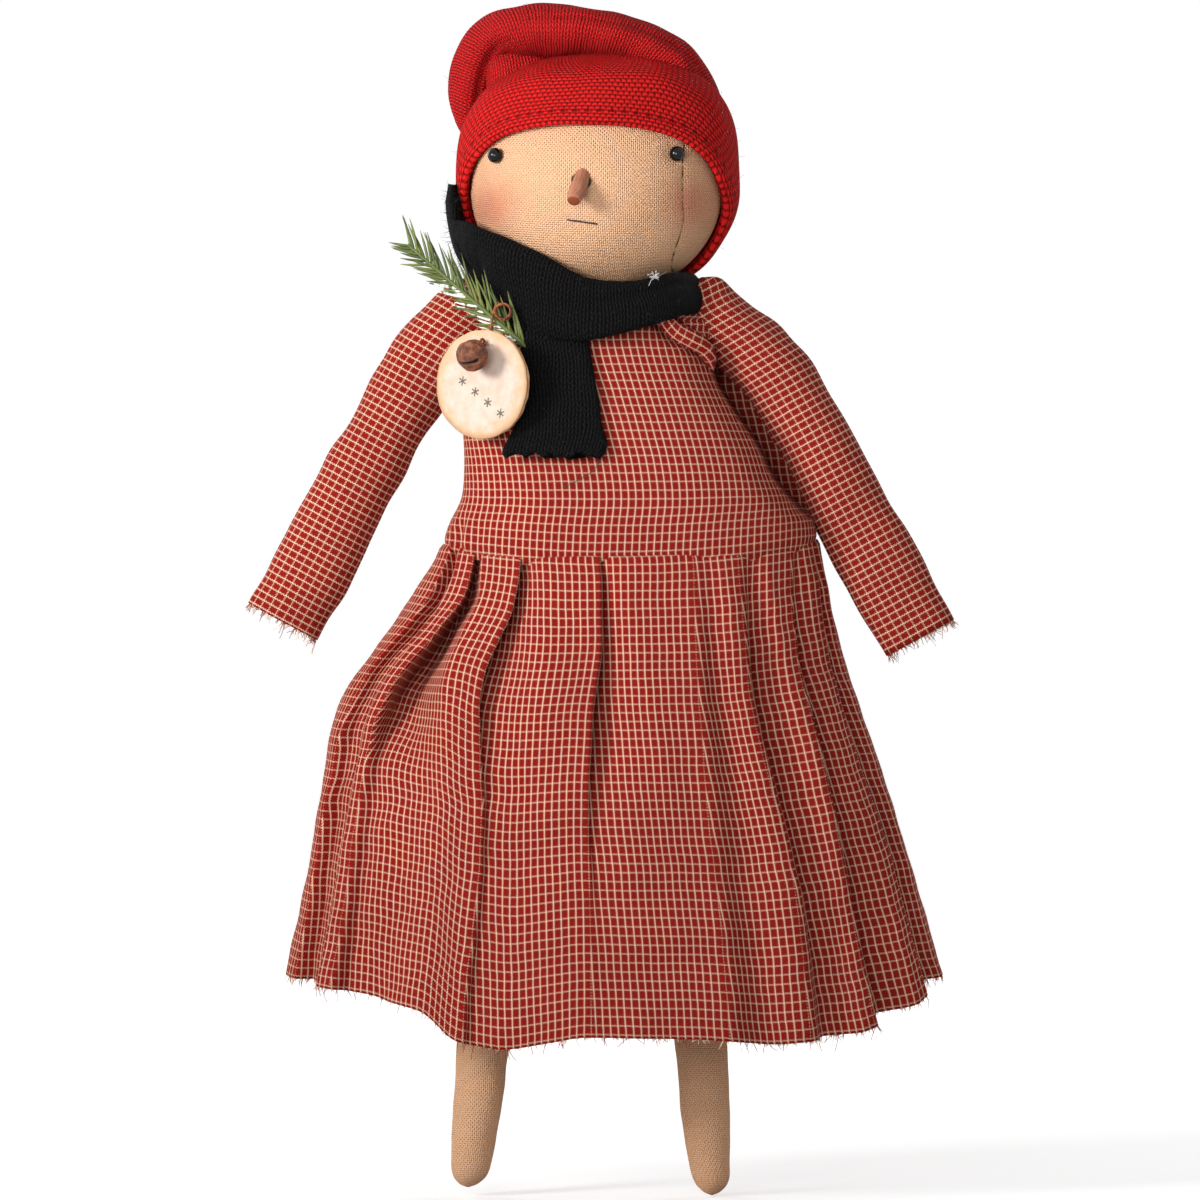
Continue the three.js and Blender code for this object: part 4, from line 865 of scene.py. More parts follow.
# Height, left and right edge, depth in front and behind.
bodice_keys = [
    (WAIST_Z - 5.0, -61.0, 90.0, 42.0, 37.0),
    (WAIST_Z, -64.4, 93.2, 44.0, 39.3),
    (WAIST_Z + 4.0, -64.6, 93.6, 44.5, 39.8),
    (284.0, -62.5, 92.5, 44.8, 40.0),
    (296.0, -58.0, 90.5, 44.0, 40.0),
    (310.0, -56.5, 86.0, 43.0, 39.8),
    (324.0, -56.5, 79.5, 41.5, 39.0),
    (340.0, -57.5, 71.5, 39.0, 37.0),
    (354.0, -58.0, 63.5, 36.0, 34.5),
    (365.0, -57.0, 58.0, 33.0, 32.0),
    (373.5, -50.0, 52.0, 29.0, 27.0),
    (379.5, -38.5, 39.5, 24.5, 22.0),
    (384.0, -25.0, 25.0, 20.5, 18.0),
]
# The front's right edge, by height and X, where it turns back in under the arm.
arm_fold = [(280, 93.5), (286, 90), (292.6, 84.5), (304.7, 74), (319.6, 66.5), (329.3, 60), (338, 54)]
arm_fold += [(347, 49), (358, 46.5), (366, 46)]
# Creases at the right shoulder: pixels of the photograph along each, depth and width.
crease = ([(652, 316), (660, 328), (671, 339), (692, 348), (708, 358)], 4.5, 2.2)
slit = ([(673, 321), (684, 328), (694, 337), (703, 347), (709, 357)], 5.0, 1.7)


def seam_rise(x):
    """The waist seam's sag in the middle, against its height at the sides."""
    return WAIST_SAG * np.clip((np.asarray(x) - WAIST_LOWEST) / WAIST_HALF, -1.1, 1.1) ** 2


def creased(points, pixels, depth, width):
    """How far back a crease along a line in the front view takes each point."""
    line = spline([photo(*pixel) for pixel in pixels], 40)
    flat = points[..., [0, 2]]
    from_line = np.linalg.norm(flat[..., None, :] - line, axis=-1).min(-1)
    return depth * bell_curve(from_line, width)


rows = spline(bodice_keys, 84)
heights = rows[:, :1]
turn = around(BODICE_COLUMNS, -1.5 * math.pi)
in_front = np.sin(turn) < 0
middle = (rows[:, 2:3] + rows[:, 1:2]) / 2
half = (rows[:, 2:3] - rows[:, 1:2]) / 2
spots = np.stack(np.broadcast_arrays(turn * 60, heights * 0.35, 0 * turn), -1)
flat_behind = np.where(np.sin(turn) < 0.35, 1.0, 0.25)
fold = 1.3 * ripple(spots, 38, 21) * smooth((heights - WAIST_Z) / 20) * flat_behind
# Gathers in the waist seam at the left.
gather = bell_curve(np.degrees(turn) - GATHER_DEGREES, 14) * bell_curve(heights - WAIST_Z - 3, 9)
fold += 1.5 * np.sin(turn * GATHERS) * gather
deep = np.where(in_front, rows[:, 3:4], rows[:, 4:5])
x = middle + (half + fold) * squared(np.cos(turn), 0.85)
y = (deep + fold) * squared(np.sin(turn), 0.8)
z = heights + seam_rise(x) * smooth((312.0 - heights) / 40)
from_fold = x - table(arm_fold, z)
under_arm = smooth((heights - UNDER_ARM[0]) / UNDER_ARM_EASE)
under_arm = under_arm * smooth((UNDER_ARM[1] - heights) / UNDER_ARM_EASE)
y += 7.0 * np.clip((from_fold + 16) / 16, 0, 1) ** 2.5 * under_arm * in_front
y += np.maximum(TURN_IN_Y - y, 0.0) * smooth(from_fold / TURN_IN_WIDTH) * under_arm
bodice_points = np.stack([x, y, z], -1)
for line in (crease, slit):
    bodice_points[..., 1] += creased(bodice_points, *line) * in_front
# Front and back panel, each with its check set out from its own middle.
front_uv = cloth_uv(bodice_points, BODICE_COLUMNS // 2)
back_uv = cloth_uv(bodice_points)
back_uv[:, BODICE_COLUMNS // 2 :, 0] -= back_uv[:, -1:, 0]
back_uv[..., 1] = front_uv[..., 1]
panels = in_front[:, None]
bodice_uv = tuple(np.where(panels, front_uv[:, k], back_uv[:, k]) for k in (slice(0, -1), slice(1, None)))
bodice = grid_object("dress_bodice", bodice_points, check_cloth, bodice_uv)
thicken(bodice, BODICE_THICK)
fit(bodice, "torso", "checked_cotton", "bodice")

# Dress: skirt

SKIRT_ROWS = 96
FOLD_COLUMNS = 42
SKIRT_THICK = 0.8
# Silhouette and depths by the share of the way down.
skirt_left = [(0, 66), (0.045, 69), (0.114, 76), (0.183, 84), (0.345, 106), (0.414, 111.5), (0.55, 116.5)]
skirt_left += [(0.714, 121.5), (1, 132)]
skirt_right = [(0, 94.5), (0.1, 96.5), (0.23, 101), (0.437, 114.5), (0.714, 131.5), (1, 147)]
skirt_front = [(0, 45), (0.2, 57), (0.5, 69), (1, 78)]
skirt_back = [(0, 39), (0.2, 50), (0.5, 62), (1, 71)]


def back_fold(top, bottom):
    """A fold of the plain kind that runs round the back."""
    depth = [(0, 3), (0.05, 8), (0.5, 12), (1, 12)]
    return ([(0, top), (1, bottom)], [(0, 9), (1, 15)], depth, (0.35, 0.45, 0.4))


# Folds: degrees of the edge that stands over the fold, width in degrees and depth, each by the share of
# the way down, then the shares of the width at which the fold is deepest and starts to rise, and how far
# it runs in under its edge, against its depth.
skirt_folds = [
    back_fold(82, 82),
    back_fold(109, 109),
    back_fold(136, 136),
    back_fold(160, 164),
    (
        [(0, 198), (0.1, 201), (0.3, 196), (1, 192)],
        [(0, 8), (0.1, 10), (0.3, 14), (1, 15)],
        [(0, 3), (0.06, 7), (0.2, 8), (0.4, 6), (1, 9)],
        (0.15, 0.5, 0.5),
    ),
    (
        [(0, 215), (0.05, 216.5), (0.113, 219.5), (0.19, 216.5), (0.3, 213.5), (0.4, 212), (1, 211)],
        [(0, 4), (0.05, 5), (0.126, 7), (0.23, 13), (0.385, 22), (1, 24)],
        [(0, 3), (0.03, 10), (0.12, 19), (0.25, 25), (0.36, 19), (0.48, 8), (0.7, 6), (1, 9)],
        (0.2, 0.6, 0.9),
    ),
    (
        [(0, 234.6), (0.1, 238), (0.24, 238.5), (0.36, 242), (1, 243)],
        [(0, 7), (0.1, 11), (0.24, 16), (0.36, 18), (1, 20)],
        [(0, 3), (0.04, 8), (0.15, 12), (0.3, 11), (0.42, 6), (0.6, 3.5), (1, 5)],
        (0.12, 0.2, 1.0),
    ),
    (
        [(0, 260.5), (0.1, 264), (0.185, 266.7), (0.363, 268.4), (0.55, 267), (1, 266)],
        [(0, 5), (0.15, 9), (0.35, 15), (0.55, 17), (1, 20)],
        [(0, 2.5), (0.06, 6), (0.2, 11), (0.33, 15), (0.42, 10), (0.52, 5), (0.7, 1.5), (1, 1)],
        (0.11, 0.22, 1.0),
    ),
    (
        [(0, 289), (0.36, 293), (0.55, 292), (1, 290)],
        [(0, 10), (0.36, 14), (1, 15)],
        [(0, 0.6), (0.1, 2), (0.36, 5), (0.6, 5), (1, 6)],
        (0.5, 0.55, 0.1),
    ),
    (
        [(0, 304), (0.28, 307), (0.5, 308), (1, 306)],
        [(0, 12), (0.28, 15), (0.5, 15), (1, 14)],
        [(0, 1), (0.1, 4), (0.28, 11), (0.5, 11), (1, 10)],
        (0.5, 0.52, 0.1),
    ),
    (
        [(0, 327), (0.28, 325), (0.6, 323), (1, 322)],
        [(0, 10), (0.5, 14), (1, 15)],
        [(0, 1), (0.1, 3), (0.3, 7), (0.6, 9), (1, 11)],
        (0.5, 0.55, 0.2),
    ),
    ([(0, 342), (1, 341)], [(0, 9), (1, 13)], [(0, 2), (0.1, 5), (0.4, 8), (1, 10)], (0.35, 0.5, 0.4)),
    back_fold(362, 362),
    back_fold(387, 387),
    back_fold(414, 414),
]
# Hem height along the hem, by angle.
hem_keys = [(94, 80), (140, 92), (168, 95), (180, 95), (200, 92), (222, 88), (235, 82), (241, 70), (252, 66)]
hem_keys += [(264, 72), (285, 71), (300, 68), (318, 72), (335, 82), (348, 92), (360, 95), (376, 92)]
hem_keys += [(410, 84)]
# Sags across the cloth: middle angle and half width, height, depth and half height.
skirt_sags = [(203, 16, 194, 5.0, 7), (214, 20, 168, 3.0, 8), (248, 14, 172, 2.2, 7), (262, 18, 150, 2.0, 8)]
skirt_sags += [(272, 15, 126, 2.2, 9), (296, 13, 142, 2.0, 9), (284, 18, 102, 1.8, 8), (318, 14, 116, 2.0, 9)]
first_degrees = skirt_folds[0][0][0][1]
theta_degrees = np.linspace(first_degrees, first_degrees + 360, 3601)
theta = np.radians(theta_degrees)
hem_line = np.interp(theta_degrees, *np.array(hem_keys, float).T, period=360)
hem_line = np.convolve(np.pad(hem_line, 20, mode="wrap"), np.ones(41) / 41, "valid")


def skirt_row(drop):
    """One level of the skirt, sampled so that each fold keeps its own columns, with its cloth widths."""
    left, right = table(skirt_left, drop), table(skirt_right, drop)
    out = np.zeros_like(theta)
    slide = np.zeros_like(theta)
    edges = []
    for at, width, depth, (deepest, rising, under) in skirt_folds:
        edges.append(table(at, drop))
        share = ((theta_degrees - edges[-1]) % 360) / table(width, drop)
        fall = smooth(share / deepest) * (1 - smooth((share - rising) / (1 - rising)))
        out -= table(depth, drop) * fall
        slide -= table(depth, drop) * fall * under
    seam = 0.8 * (1 - smooth(drop / 0.012))
    x = (right - left) / 2 + ((left + right) / 2 + out - seam) * np.cos(theta)
    deep = np.where(np.sin(theta) < 0, table(skirt_front, drop), table(skirt_back, drop))
    waist = WAIST_Z + seam_rise(x)
    z = waist + drop * (hem_line - waist)
    for at, wide, height, sink, tall in skirt_sags:
        from_sag = theta_degrees - at
        out -= sink * bell_curve(from_sag, wide) * bell_curve(z - height - 0.25 * from_sag, tall)
    y = (deep + out - seam) * np.sin(theta)
    along = unit(np.stack([-np.sin(theta) * (left + right) / 2, np.cos(theta) * deep, 0 * theta], -1))
    line = np.stack([x, y, z], -1) + along * slide[:, None]
    run = np.append(0, np.cumsum(np.linalg.norm(np.diff(line, axis=0), axis=1)))
    stops = np.interp(edges, theta_degrees, run)
    stops = np.append(stops, stops[0] + run[-1])
    picks = np.array([np.linspace(a, b, FOLD_COLUMNS, False) for a, b in zip(stops[:-1], stops[1:])])
    points = np.stack([np.interp(picks.ravel(), run, line[:, k], period=run[-1]) for k in range(3)], -1)
    return points, (picks - stops[1:, None]).ravel()


skirt_rows = [skirt_row(drop) for drop in np.linspace(0, 1, SKIRT_ROWS) ** 1.15]
skirt_points = np.array([points for points, _ in skirt_rows])
fade = smooth(np.linspace(0, 6, SKIRT_ROWS))[:, None]
radial = unit(skirt_points * (RIGHT + BACK))
wrinkle = ripple(skirt_points * np.array([1, 1, 0.4]), 46, 31) * 1.3 + ripple(skirt_points, 17, 32) * 0.4
skirt_points += radial * (wrinkle * fade)[..., None]
# The check runs along each fold's standing edge, so it is cut off at the edge before.
before_edge = np.array([widths for _, widths in skirt_rows])
next_before = np.roll(before_edge, -1, axis=1)
next_before[:, FOLD_COLUMNS - 1 :: FOLD_COLUMNS] = 0
down = np.linalg.norm(np.diff(skirt_points, axis=0), axis=2).mean(1)
down = np.broadcast_to(np.append(0, np.cumsum(down))[:, None], before_edge.shape)
skirt_uv = tuple(np.stack([across, down], -1) / 1000 for across in (before_edge, next_before))
skirt = grid_object("dress_skirt", skirt_points, check_cloth, skirt_uv, flip=True)
thicken(skirt, SKIRT_THICK, offset=0.0)

# Dress: sleeves

SHOULDER_X = 64.87
SHOULDER_Z = 371.0
ARM_SPLAY = math.radians(28.6)
SLEEVE_LENGTH = 148.0
SLEEVE_COLUMNS = 112
SLEEVE_THICK = 0.7
# Rings square to the arm: distance down it from the shoulder, the ring's inner and outer edge, half depth.
shoulder_right = [(-27, -12, -8, 3), (-23, -20, -1.5, 10), (-14, -27, 1.6, 17), (-6, -25, 4.8, 19.5)]
shoulder_right += [(4, -21.5, 9.6, 19.5), (14, -18.4, 12, 18.5), (24, -15.4, 14.7, 17.2)]
shoulder_right += [(35, -14, 15.4, 16.4)]
shoulder_left = [(-27, -12, -6, 3), (-23, -20, 0, 10), (-14, -25, 6.5, 17), (-6, -23, 10, 19)]
shoulder_left += [(4, -20, 13, 19), (14, -18, 14.5, 18.2), (24, -17, 15.5, 17.2), (35, -16.3, 16, 16.4)]
forearm = [(52, -13.8, 15.9, 15.4), (75, -15, 16.2, 14.4), (100, -16.1, 16.4, 13), (125, -16.2, 16.2, 11.4)]


def arm_axes(side):
    """The shoulder, the way down the arm and the way out across it."""
    line = np.array([side * math.sin(ARM_SPLAY), 0.0, -math.cos(ARM_SPLAY)])
    across = np.array([side * math.cos(ARM_SPLAY), 0.0, math.sin(ARM_SPLAY)])
    return np.array([side * SHOULDER_X, 0.0, SHOULDER_Z]), line, across


def sleeve_points(side):
    """Rings from inside the neckline over the shoulder and down to the cuff."""
    pivot, line, across = arm_axes(side)
    cuff = (SLEEVE_LENGTH + 4.0 * side, -15.9, 15.9, 9.5)
    rows = spline([*(shoulder_right if side > 0 else shoulder_left), *forearm, cuff], 104)
    spin = around(SLEEVE_COLUMNS, math.pi / 2)
    middle = (rows[:, 1:2] + rows[:, 2:3]) / 2
    half = (rows[:, 2:3] - rows[:, 1:2]) / 2
    heart = pivot + line * rows[:, :1] + across * middle
    rings = ellipses(heart, across, half, rows[:, 3], spin, 0.9)
    crumple = ripple(rings * np.array([1, 0.6, 1]), 34, 41 + side) * 0.9 + ripple(rings, 15, 43 + side) * 0.3
    calm = smooth(np.linspace(0, 5, len(rows)))[:, None]
    rings += unit(rings - heart[:, None]) * (crumple * calm)[..., None]
    rings[..., 1] += creased(rings, *slit) * (np.sin(spin) < 0)
    return rings


# The tuck at the right shoulder, a roll of cloth along the top of the armhole: pixels and Y.
tuck_spots = [(662, 310, -28.0), (664, 321, -29.5), (675, 332, -29.0), (690, 340, -27.0), (702, 347, -24.5)]
tuck_spots += [(709, 357, -22.0), (711, 370, -18.0)]
tuck_path = spline([from_photo(*spot) for spot in tuck_spots], 60)
tuck_girth = 0.6 + 3.6 * np.sin(math.pi * np.linspace(0.04, 0.96, 60)) ** 0.7
tuck_points = tube(tuck_path, tuck_girth, 24)
tuck = solid_object("shoulder_tuck", tuck_points, check_cloth, cloth_uv(tuck_points, 12))
fit(tuck, "torso", "checked_cotton")

sleeves = {}
for name, side in SIDES:
    points = sleeve_points(side)
    front = SLEEVE_COLUMNS // 2
    uv = cloth_uv(points, front)
    uv[..., 1] = (points[:, front] @ arm_axes(side)[1] / 1000)[:, None]
    uv = uv[..., ::-1]
    sleeve = grid_object(f"dress_sleeve_{name}", points, check_cloth, uv, (True, False), flip=side < 0)
    thicken(sleeve, SLEEVE_THICK)
    sleeves[name] = (sleeve, points)

# Dress: raw edges, and how the cloth rides and lies

YARN_R = (0.17, 0.1)  # at its root and at its end
YARN_ROOT = 0.8  # how far it starts inside the cloth
YARN_SHORTEST = 0.7
LONG_YARNS = 0.03  # share of them


def fray(name, rings, back, count, longest, seed):
    """Loose yarns along the raw edge after the last ring, hanging on from the ring some way back."""
    own = np.random.default_rng(seed)
    edge = rings[-1]
    away = unit(rings[-1] - rings[-1 - back])
    paths, radii, tones = [], [], []
    for _ in range(count):
        k = own.integers(len(edge))
        start = edge[k] + (edge[(k + 1) % len(edge)] - edge[k]) * own.random()
        along = unit(edge[(k + 2) % len(edge)] - edge[k - 2])
        line = unit(away[k] + along * own.normal(0, 0.5) + own.normal(0, 0.15, 3))
        bend = own.normal(0, 0.35, 3)
        length = longest * own.random() ** 3 + YARN_SHORTEST
        if own.random() < LONG_YARNS:
            length = longest * own.uniform(1.2, 2.2)
        t = np.linspace(0, 1, 5)[:, None]
        reach = line * (length + YARN_ROOT) * t
        paths.append(start - line * YARN_ROOT + reach + bend * length * t**2 * 0.5)
        radii.append(np.linspace(*YARN_R, 5))
        tones.append(own.random())
    made = strands(name, paths, radii, yarn_loose, tones=tones)
    return made


hem_fray = fray("hem_fray", skirt_points, 2, 1000, 3.4, 51)
for piece in (skirt, hem_fray):
    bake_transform(piece)
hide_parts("skirt")
for name, side in SIDES:
    sleeve, points = sleeves[name]
    cuff_fray = fray(f"cuff_fray_{name}", points, 3, 200, 3.6, 61 + side)
    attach(cuff_fray, f"{name}_arm")
    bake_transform(sleeve)
    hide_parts(f"sleeve_{name}")

# Body under the dress: torso, arms and legs

LEG_TOP = 221.4
# Height, half width and half depth.
torso_keys = [
    (227.0, 44.0, 2.4),
    (238.0, 50.0, 16.0),
    (258.0, 53.0, 29.0),
    (285.0, 52.0, 33.0),
    (315.0, 49.0, 33.0),
    (345.0, 45.0, 29.0),
    (362.0, 40.0, 24.0),
    (374.0, 31.0, 20.0),
    (382.0, 19.0, 17.0),
    (388.0, 15.0, 15.0),
    (400.0, 14.6, 14.6),
]
# Distance down the arm from the shoulder, half width and half depth.
arm_keys = [(-13.6, 2.0, 2.0), (-11.0, 5.0, 6.0), (-4.0, 7.5, 9.0), (5.0, 9.0, 10.5), (16.0, 11.0, 12.0)]
arm_keys += [(28.0, 13.2, 12.4), (60.0, 13.8, 11.4), (110.0, 13.6, 9.2), (126.0, 12.4, 7.6)]
arm_keys += [(134.0, 8.0, 4.8), (137.0, 1.0, 0.6)]
# Share of the way down the leg, half width and half depth.
leg_keys = [(0.0, 11.2, 2.5), (0.08, 12.5, 8.2), (0.2, 13.0, 12.5), (0.45, 11.8, 11.8), (0.7, 11.4, 11.4)]
leg_keys += [(0.85, 10.2, 10.0), (0.94, 8.9, 9.0), (0.975, 7.3, 7.5), (0.993, 4.0, 4.2), (1.0, 0.6, 0.6)]

height, wide, deep = spline(torso_keys, 60).T
torso_points = ellipses(height[:, None] * UP, RIGHT, wide, deep, around(72))
torso = solid_object("torso_cover", torso_points, leg_linen)
fit(torso, "torso", "linen", "torso_skin", "torso_stuffing")

for name, side in SIDES:
    pivot, line, across = arm_axes(side)
    along, wide, deep = spline(arm_keys, 64).T
    inward = -5.0 * smooth((22.0 - along) / 22.0)
    path = pivot + line * along[:, None] + across * inward[:, None]
    arm = solid_object(f"arm_cover_{name}", ellipses(path, across, wide, deep, around(48)), leg_linen)
    fit(arm, f"{name}_arm", "linen", f"arm_skin_{name}", f"arm_stuffing_{name}")

for name, hip_x, foot_x, sole in (("left", -41.0, -55.0, 3.4), ("right", 40.0, 49.0, 0.0)):
    share, wide, deep = spline(leg_keys, 110).T
    share = np.clip(share, 0, 1)
    height = LEG_TOP + (sole - LEG_TOP) * share
    path = np.stack([hip_x + (foot_x - hip_x) * share**2, 0 * share, height], -1)
    rings = ellipses(path, RIGHT, wide, deep, around(60, math.pi / 2))
    lump = ripple(rings, 21, 71 + len(name)) * 0.45 + ripple(rings * np.array([0.3, 0.3, 1]), 9, 73) * 0.2
    away = rings - path[:, None]
    away /= np.maximum(np.linalg.norm(away, axis=-1, keepdims=True), 1.0)
    rings += away * (lump * smooth(share * 20)[:, None])[..., None]
    leg = solid_object(f"leg_cover_{name}", rings, leg_linen)
    fit(leg, f"{name}_leg", "linen", f"leg_skin_{name}", f"leg_stuffing_{name}")

# Scarf

# Turn round the neck in degrees (270 is the front), radius, height, half height, half thickness, flare.
wrap_keys = [
    (90, 35.0, 384.0, 10.0, 5.5, -1.0),
    (135, 40.0, 389.0, 15.0, 5.5, 3.0),
    (170, 50.0, 393.0, 22.0, 5.0, 9.5),
    (200, 50.0, 391.5, 22.0, 5.2, 8.0),
    (232, 43.5, 383.0, 18.5, 6.0, 1.5),
    (262, 38.5, 376.5, 13.5, 6.5, -3.0),
    (292, 38.5, 378.0, 10.5, 6.5, -3.0),
    (325, 40.5, 383.0, 9.0, 6.0, -3.0),
    (360, 40.0, 384.5, 9.0, 6.0, -3.0),
    (405, 37.0, 384.0, 9.5, 6.0, -2.0),
    (450, 35.0, 384.0, 10.0, 5.5, -1.0),
]
degrees, radius, height, tall, thick, flare = spline(wrap_keys, 220)[:-1].T[..., None]
angle = np.radians(degrees)
spin = around(56)
groove = bell_curve(np.sin(spin) - 0.15 + 0.3 * np.sin(angle * 2), 0.22) * (np.cos(spin) > 0)
out = radius + thick * squared(np.cos(spin), 0.75) * (1 - 0.28 * groove) + flare * np.sin(spin)
lift = height + tall * squared(np.sin(spin), 0.85)
wrap_points = np.stack([np.cos(angle) * out, np.sin(angle) * out, lift], -1)
wrap_points += (0.4 * ripple(wrap_points, 16, 81) + 0.175 * ripple(wrap_points, 6, 82))[..., None]
closed_wrap = np.concatenate([wrap_points, wrap_points[:1]], 0)
wrap = grid_object("scarf_band", closed_wrap, scarf_knit, cloth_uv(closed_wrap)[..., ::-1])

# The hanging end: its left and right edge in the photograph, from the band down.
TAIL_COLUMNS = 46
TAIL_THICK = 5.0
tail_left = [(518, 322), (521, 352), (519, 390), (516, 425), (503, 452), (508, 458)]
tail_right = [(588, 322), (590, 352), (597, 390), (602, 425), (607, 447), (600, 458)]


def bodice_front(z):
    keys = np.array(bodice_keys)
    return np.interp(z, keys[:, 0], keys[:, 3])


left, right = (spline([photo(*pixel) for pixel in edge], 70) for edge in (tail_left, tail_right))
share = np.linspace(0, 1, TAIL_COLUMNS)
down = np.linspace(0, 1, len(left))[:, None]
x = left[:, :1] * (1 - share) + right[:, :1] * share
z = left[:, 1:] * (1 - share) + right[:, 1:] * share
tatter = np.interp(share, np.linspace(0, 1, 16), np.random.default_rng(91).uniform(-1, 1, 16)) * 2.2
z = z + tatter * smooth((down - 0.75) * 4)
middle = -(bodice_front(z) * np.sqrt(1 - np.clip(x / 85, -1, 1) ** 2) + 4.2)
swell = TAIL_THICK / 2 * (1 - np.abs(2 * share - 1) ** 5) ** 0.5
swell = swell * (1 - np.clip((down - 0.93) / 0.07, 0, 1) ** 2 * 0.75)
front = np.stack([x, middle - swell, z], -1)
back = np.stack([x, middle + swell, z], -1)[:, ::-1]
tail_points = np.concatenate([front, back[:, 1:-1]], 1)
tail_points += (0.5 * ripple(tail_points, 10, 91))[..., None] * np.array([0.4, 0.8, 0.2])
tail_uv = cloth_uv(tail_points, TAIL_COLUMNS // 2)
scarf_tail = solid_object("scarf_hanging_end", tail_points, scarf_knit, tail_uv)

# The end tucked up beside the head.
end_keys = [(-50.0, 2.0, 390.0), (-57.0, 4.0, 402.0), (-60.5, 5.0, 416.0), (-61.5, 6.0, 430.0)]
share = np.linspace(0, 1, 40)
thick = 3.6 * (1 - 0.4 * smooth((share - 0.85) * 6))
end_points = ellipses(spline(end_keys, 40), RIGHT, thick, 15.0 - 2.0 * share, around(40))
ragged = np.random.default_rng(95).uniform(-2.2, 2.0, 40)
end_points[..., 2] += ragged * smooth((share - 0.8) * 5)[:, None]
scarf_end = solid_object("scarf_tucked_end", end_points, scarf_knit, cloth_uv(end_points, 10))
for piece, node in ((wrap, "scarf_wrap"), (scarf_tail, "scarf_front_tail"), (scarf_end, "scarf_back_end")):
    fit(piece, "torso", "black_knit", node)

# Loose fibres, a thread and a wisp

SCARF_FIBRE = (3.2, 0.09)  # longest, and radius
CAP_FIBRE = (2.4, 0.07)
FIBRE_ROOT = 0.3  # how far a fibre starts inside the knit
LOOSE_THREAD_R = 0.22
WISP_FIBRES = 26
WISP_R = 0.12


def fibres(piece, material, count, longest, thick, seed):
    """Short loose fibres standing out of a knitted piece."""
    own = np.random.default_rng(seed)
    mesh = piece.data
    spots = np.zeros(len(mesh.vertices) * 3)
    normals = np.zeros(len(mesh.vertices) * 3)
    mesh.vertices.foreach_get("co", spots)
    mesh.vertex_normals.foreach_get("vector", normals)
    spots = millimetres(spots.reshape(-1, 3))
    normals = normals.reshape(-1, 3)
    paths, radii, tones = [], [], []
    for k in own.integers(len(spots), size=count):
        line = unit(normals[k] * own.uniform(0.3, 1.0) + own.normal(0, 0.55, 3))
        length = longest * own.uniform(0.25, 1.0)
        t = np.linspace(0, 1, 4)[:, None]
        start = spots[k] - normals[k] * FIBRE_ROOT
        paths.append(start + line * length * t + own.normal(0, 0.45, 3) * length * t**2)
        radii.append(np.linspace(thick, thick * 0.5, 4))
        tones.append(own.random())
    return strands(piece.name + "_fibres", paths, radii, material, sides=3, tones=tones)


for piece, count, seed in ((wrap, 1500, 301), (scarf_tail, 700, 302), (scarf_end, 300, 303)):
    fit(fibres(piece, fibre_black, count, *SCARF_FIBRE, seed), "torso", "black_knit")
for piece, count, seed in ((cap, 700, 304), (cap_tail, 500, 305), (cap_fold, 120, 306)):
    fit(fibres(piece, fibre_red, count, *CAP_FIBRE, seed), "head", "red_knit")

# A dark thread under the scarf's hanging end.
thread_px = [(601, 452), (600, 462), (592, 473), (579, 481), (563, 489)]
thread_keys = [(x, -bodice_front(z) - 1.2, z) for x, z in (photo(*pixel) for pixel in thread_px)]
loose_thread = strands("loose_thread", [spline(thread_keys, 24)], [LOOSE_THREAD_R], thread_dark, sides=6)
fit(loose_thread, "torso", "thread")

# A wisp of stuffing right of the chin.
own = np.random.default_rng(311)
wisp_paths = []
for _ in range(WISP_FIBRES):
    start = np.array(from_photo(655, 278, -34.0)) + own.normal(0, 0.6, 3)
    turn = own.normal(0, 1.0, 3)
    t = np.linspace(0, 1, 6)[:, None]
    wisp_paths.append(start + turn * 0.9 * t + np.cross(turn, own.normal(0, 1.0, 3)) * 0.8 * t**2)
fit(strands("stuffing_wisp", wisp_paths, [WISP_R] * WISP_FIBRES, fibre_white), "torso", "fibrefill")

# Tag

TAG_YAW = math.radians(33)
TAG_R = 23.0
TAG_HOLE = 17.0  # above the tag's middle
TAG_HOLE_R = 1.5
MARKS = 4
MARK_FIRST = np.array([-9.5, 1.5])
MARK_STEP = np.array([6.4, -4.6])
MARK_HALF = 2.0
MARK_HALF_WIDTH = 0.3
MARK_LIFT = 0.54
tag_facing = np.array([-math.sin(TAG_YAW), -math.cos(TAG_YAW), 0.0])
tag_across = np.array([math.cos(TAG_YAW), -math.sin(TAG_YAW), 0.0])
# Share of the way from hole to rim, and height over the disc's middle, round to the start.
tag_profile = [(0.0, 0.5), (0.3, 0.5), (0.55, 0.5), (0.8, 0.5), (0.93, 0.5), (0.985, 0.44), (1.0, 0.2)]
tag_profile += [(share, -lift) for share, lift in reversed(tag_profile)]
tag_profile += tag_profile[:1]


def middle_of(node):
    low, high = box_of(node)
    return (low + high) / 2


def on_tag(middle, flat, lift):
    """Points by their place across and up a disc, and their height over its middle."""
    return middle + tag_across * flat[..., :1] + UP * flat[..., 1:] + tag_facing * lift


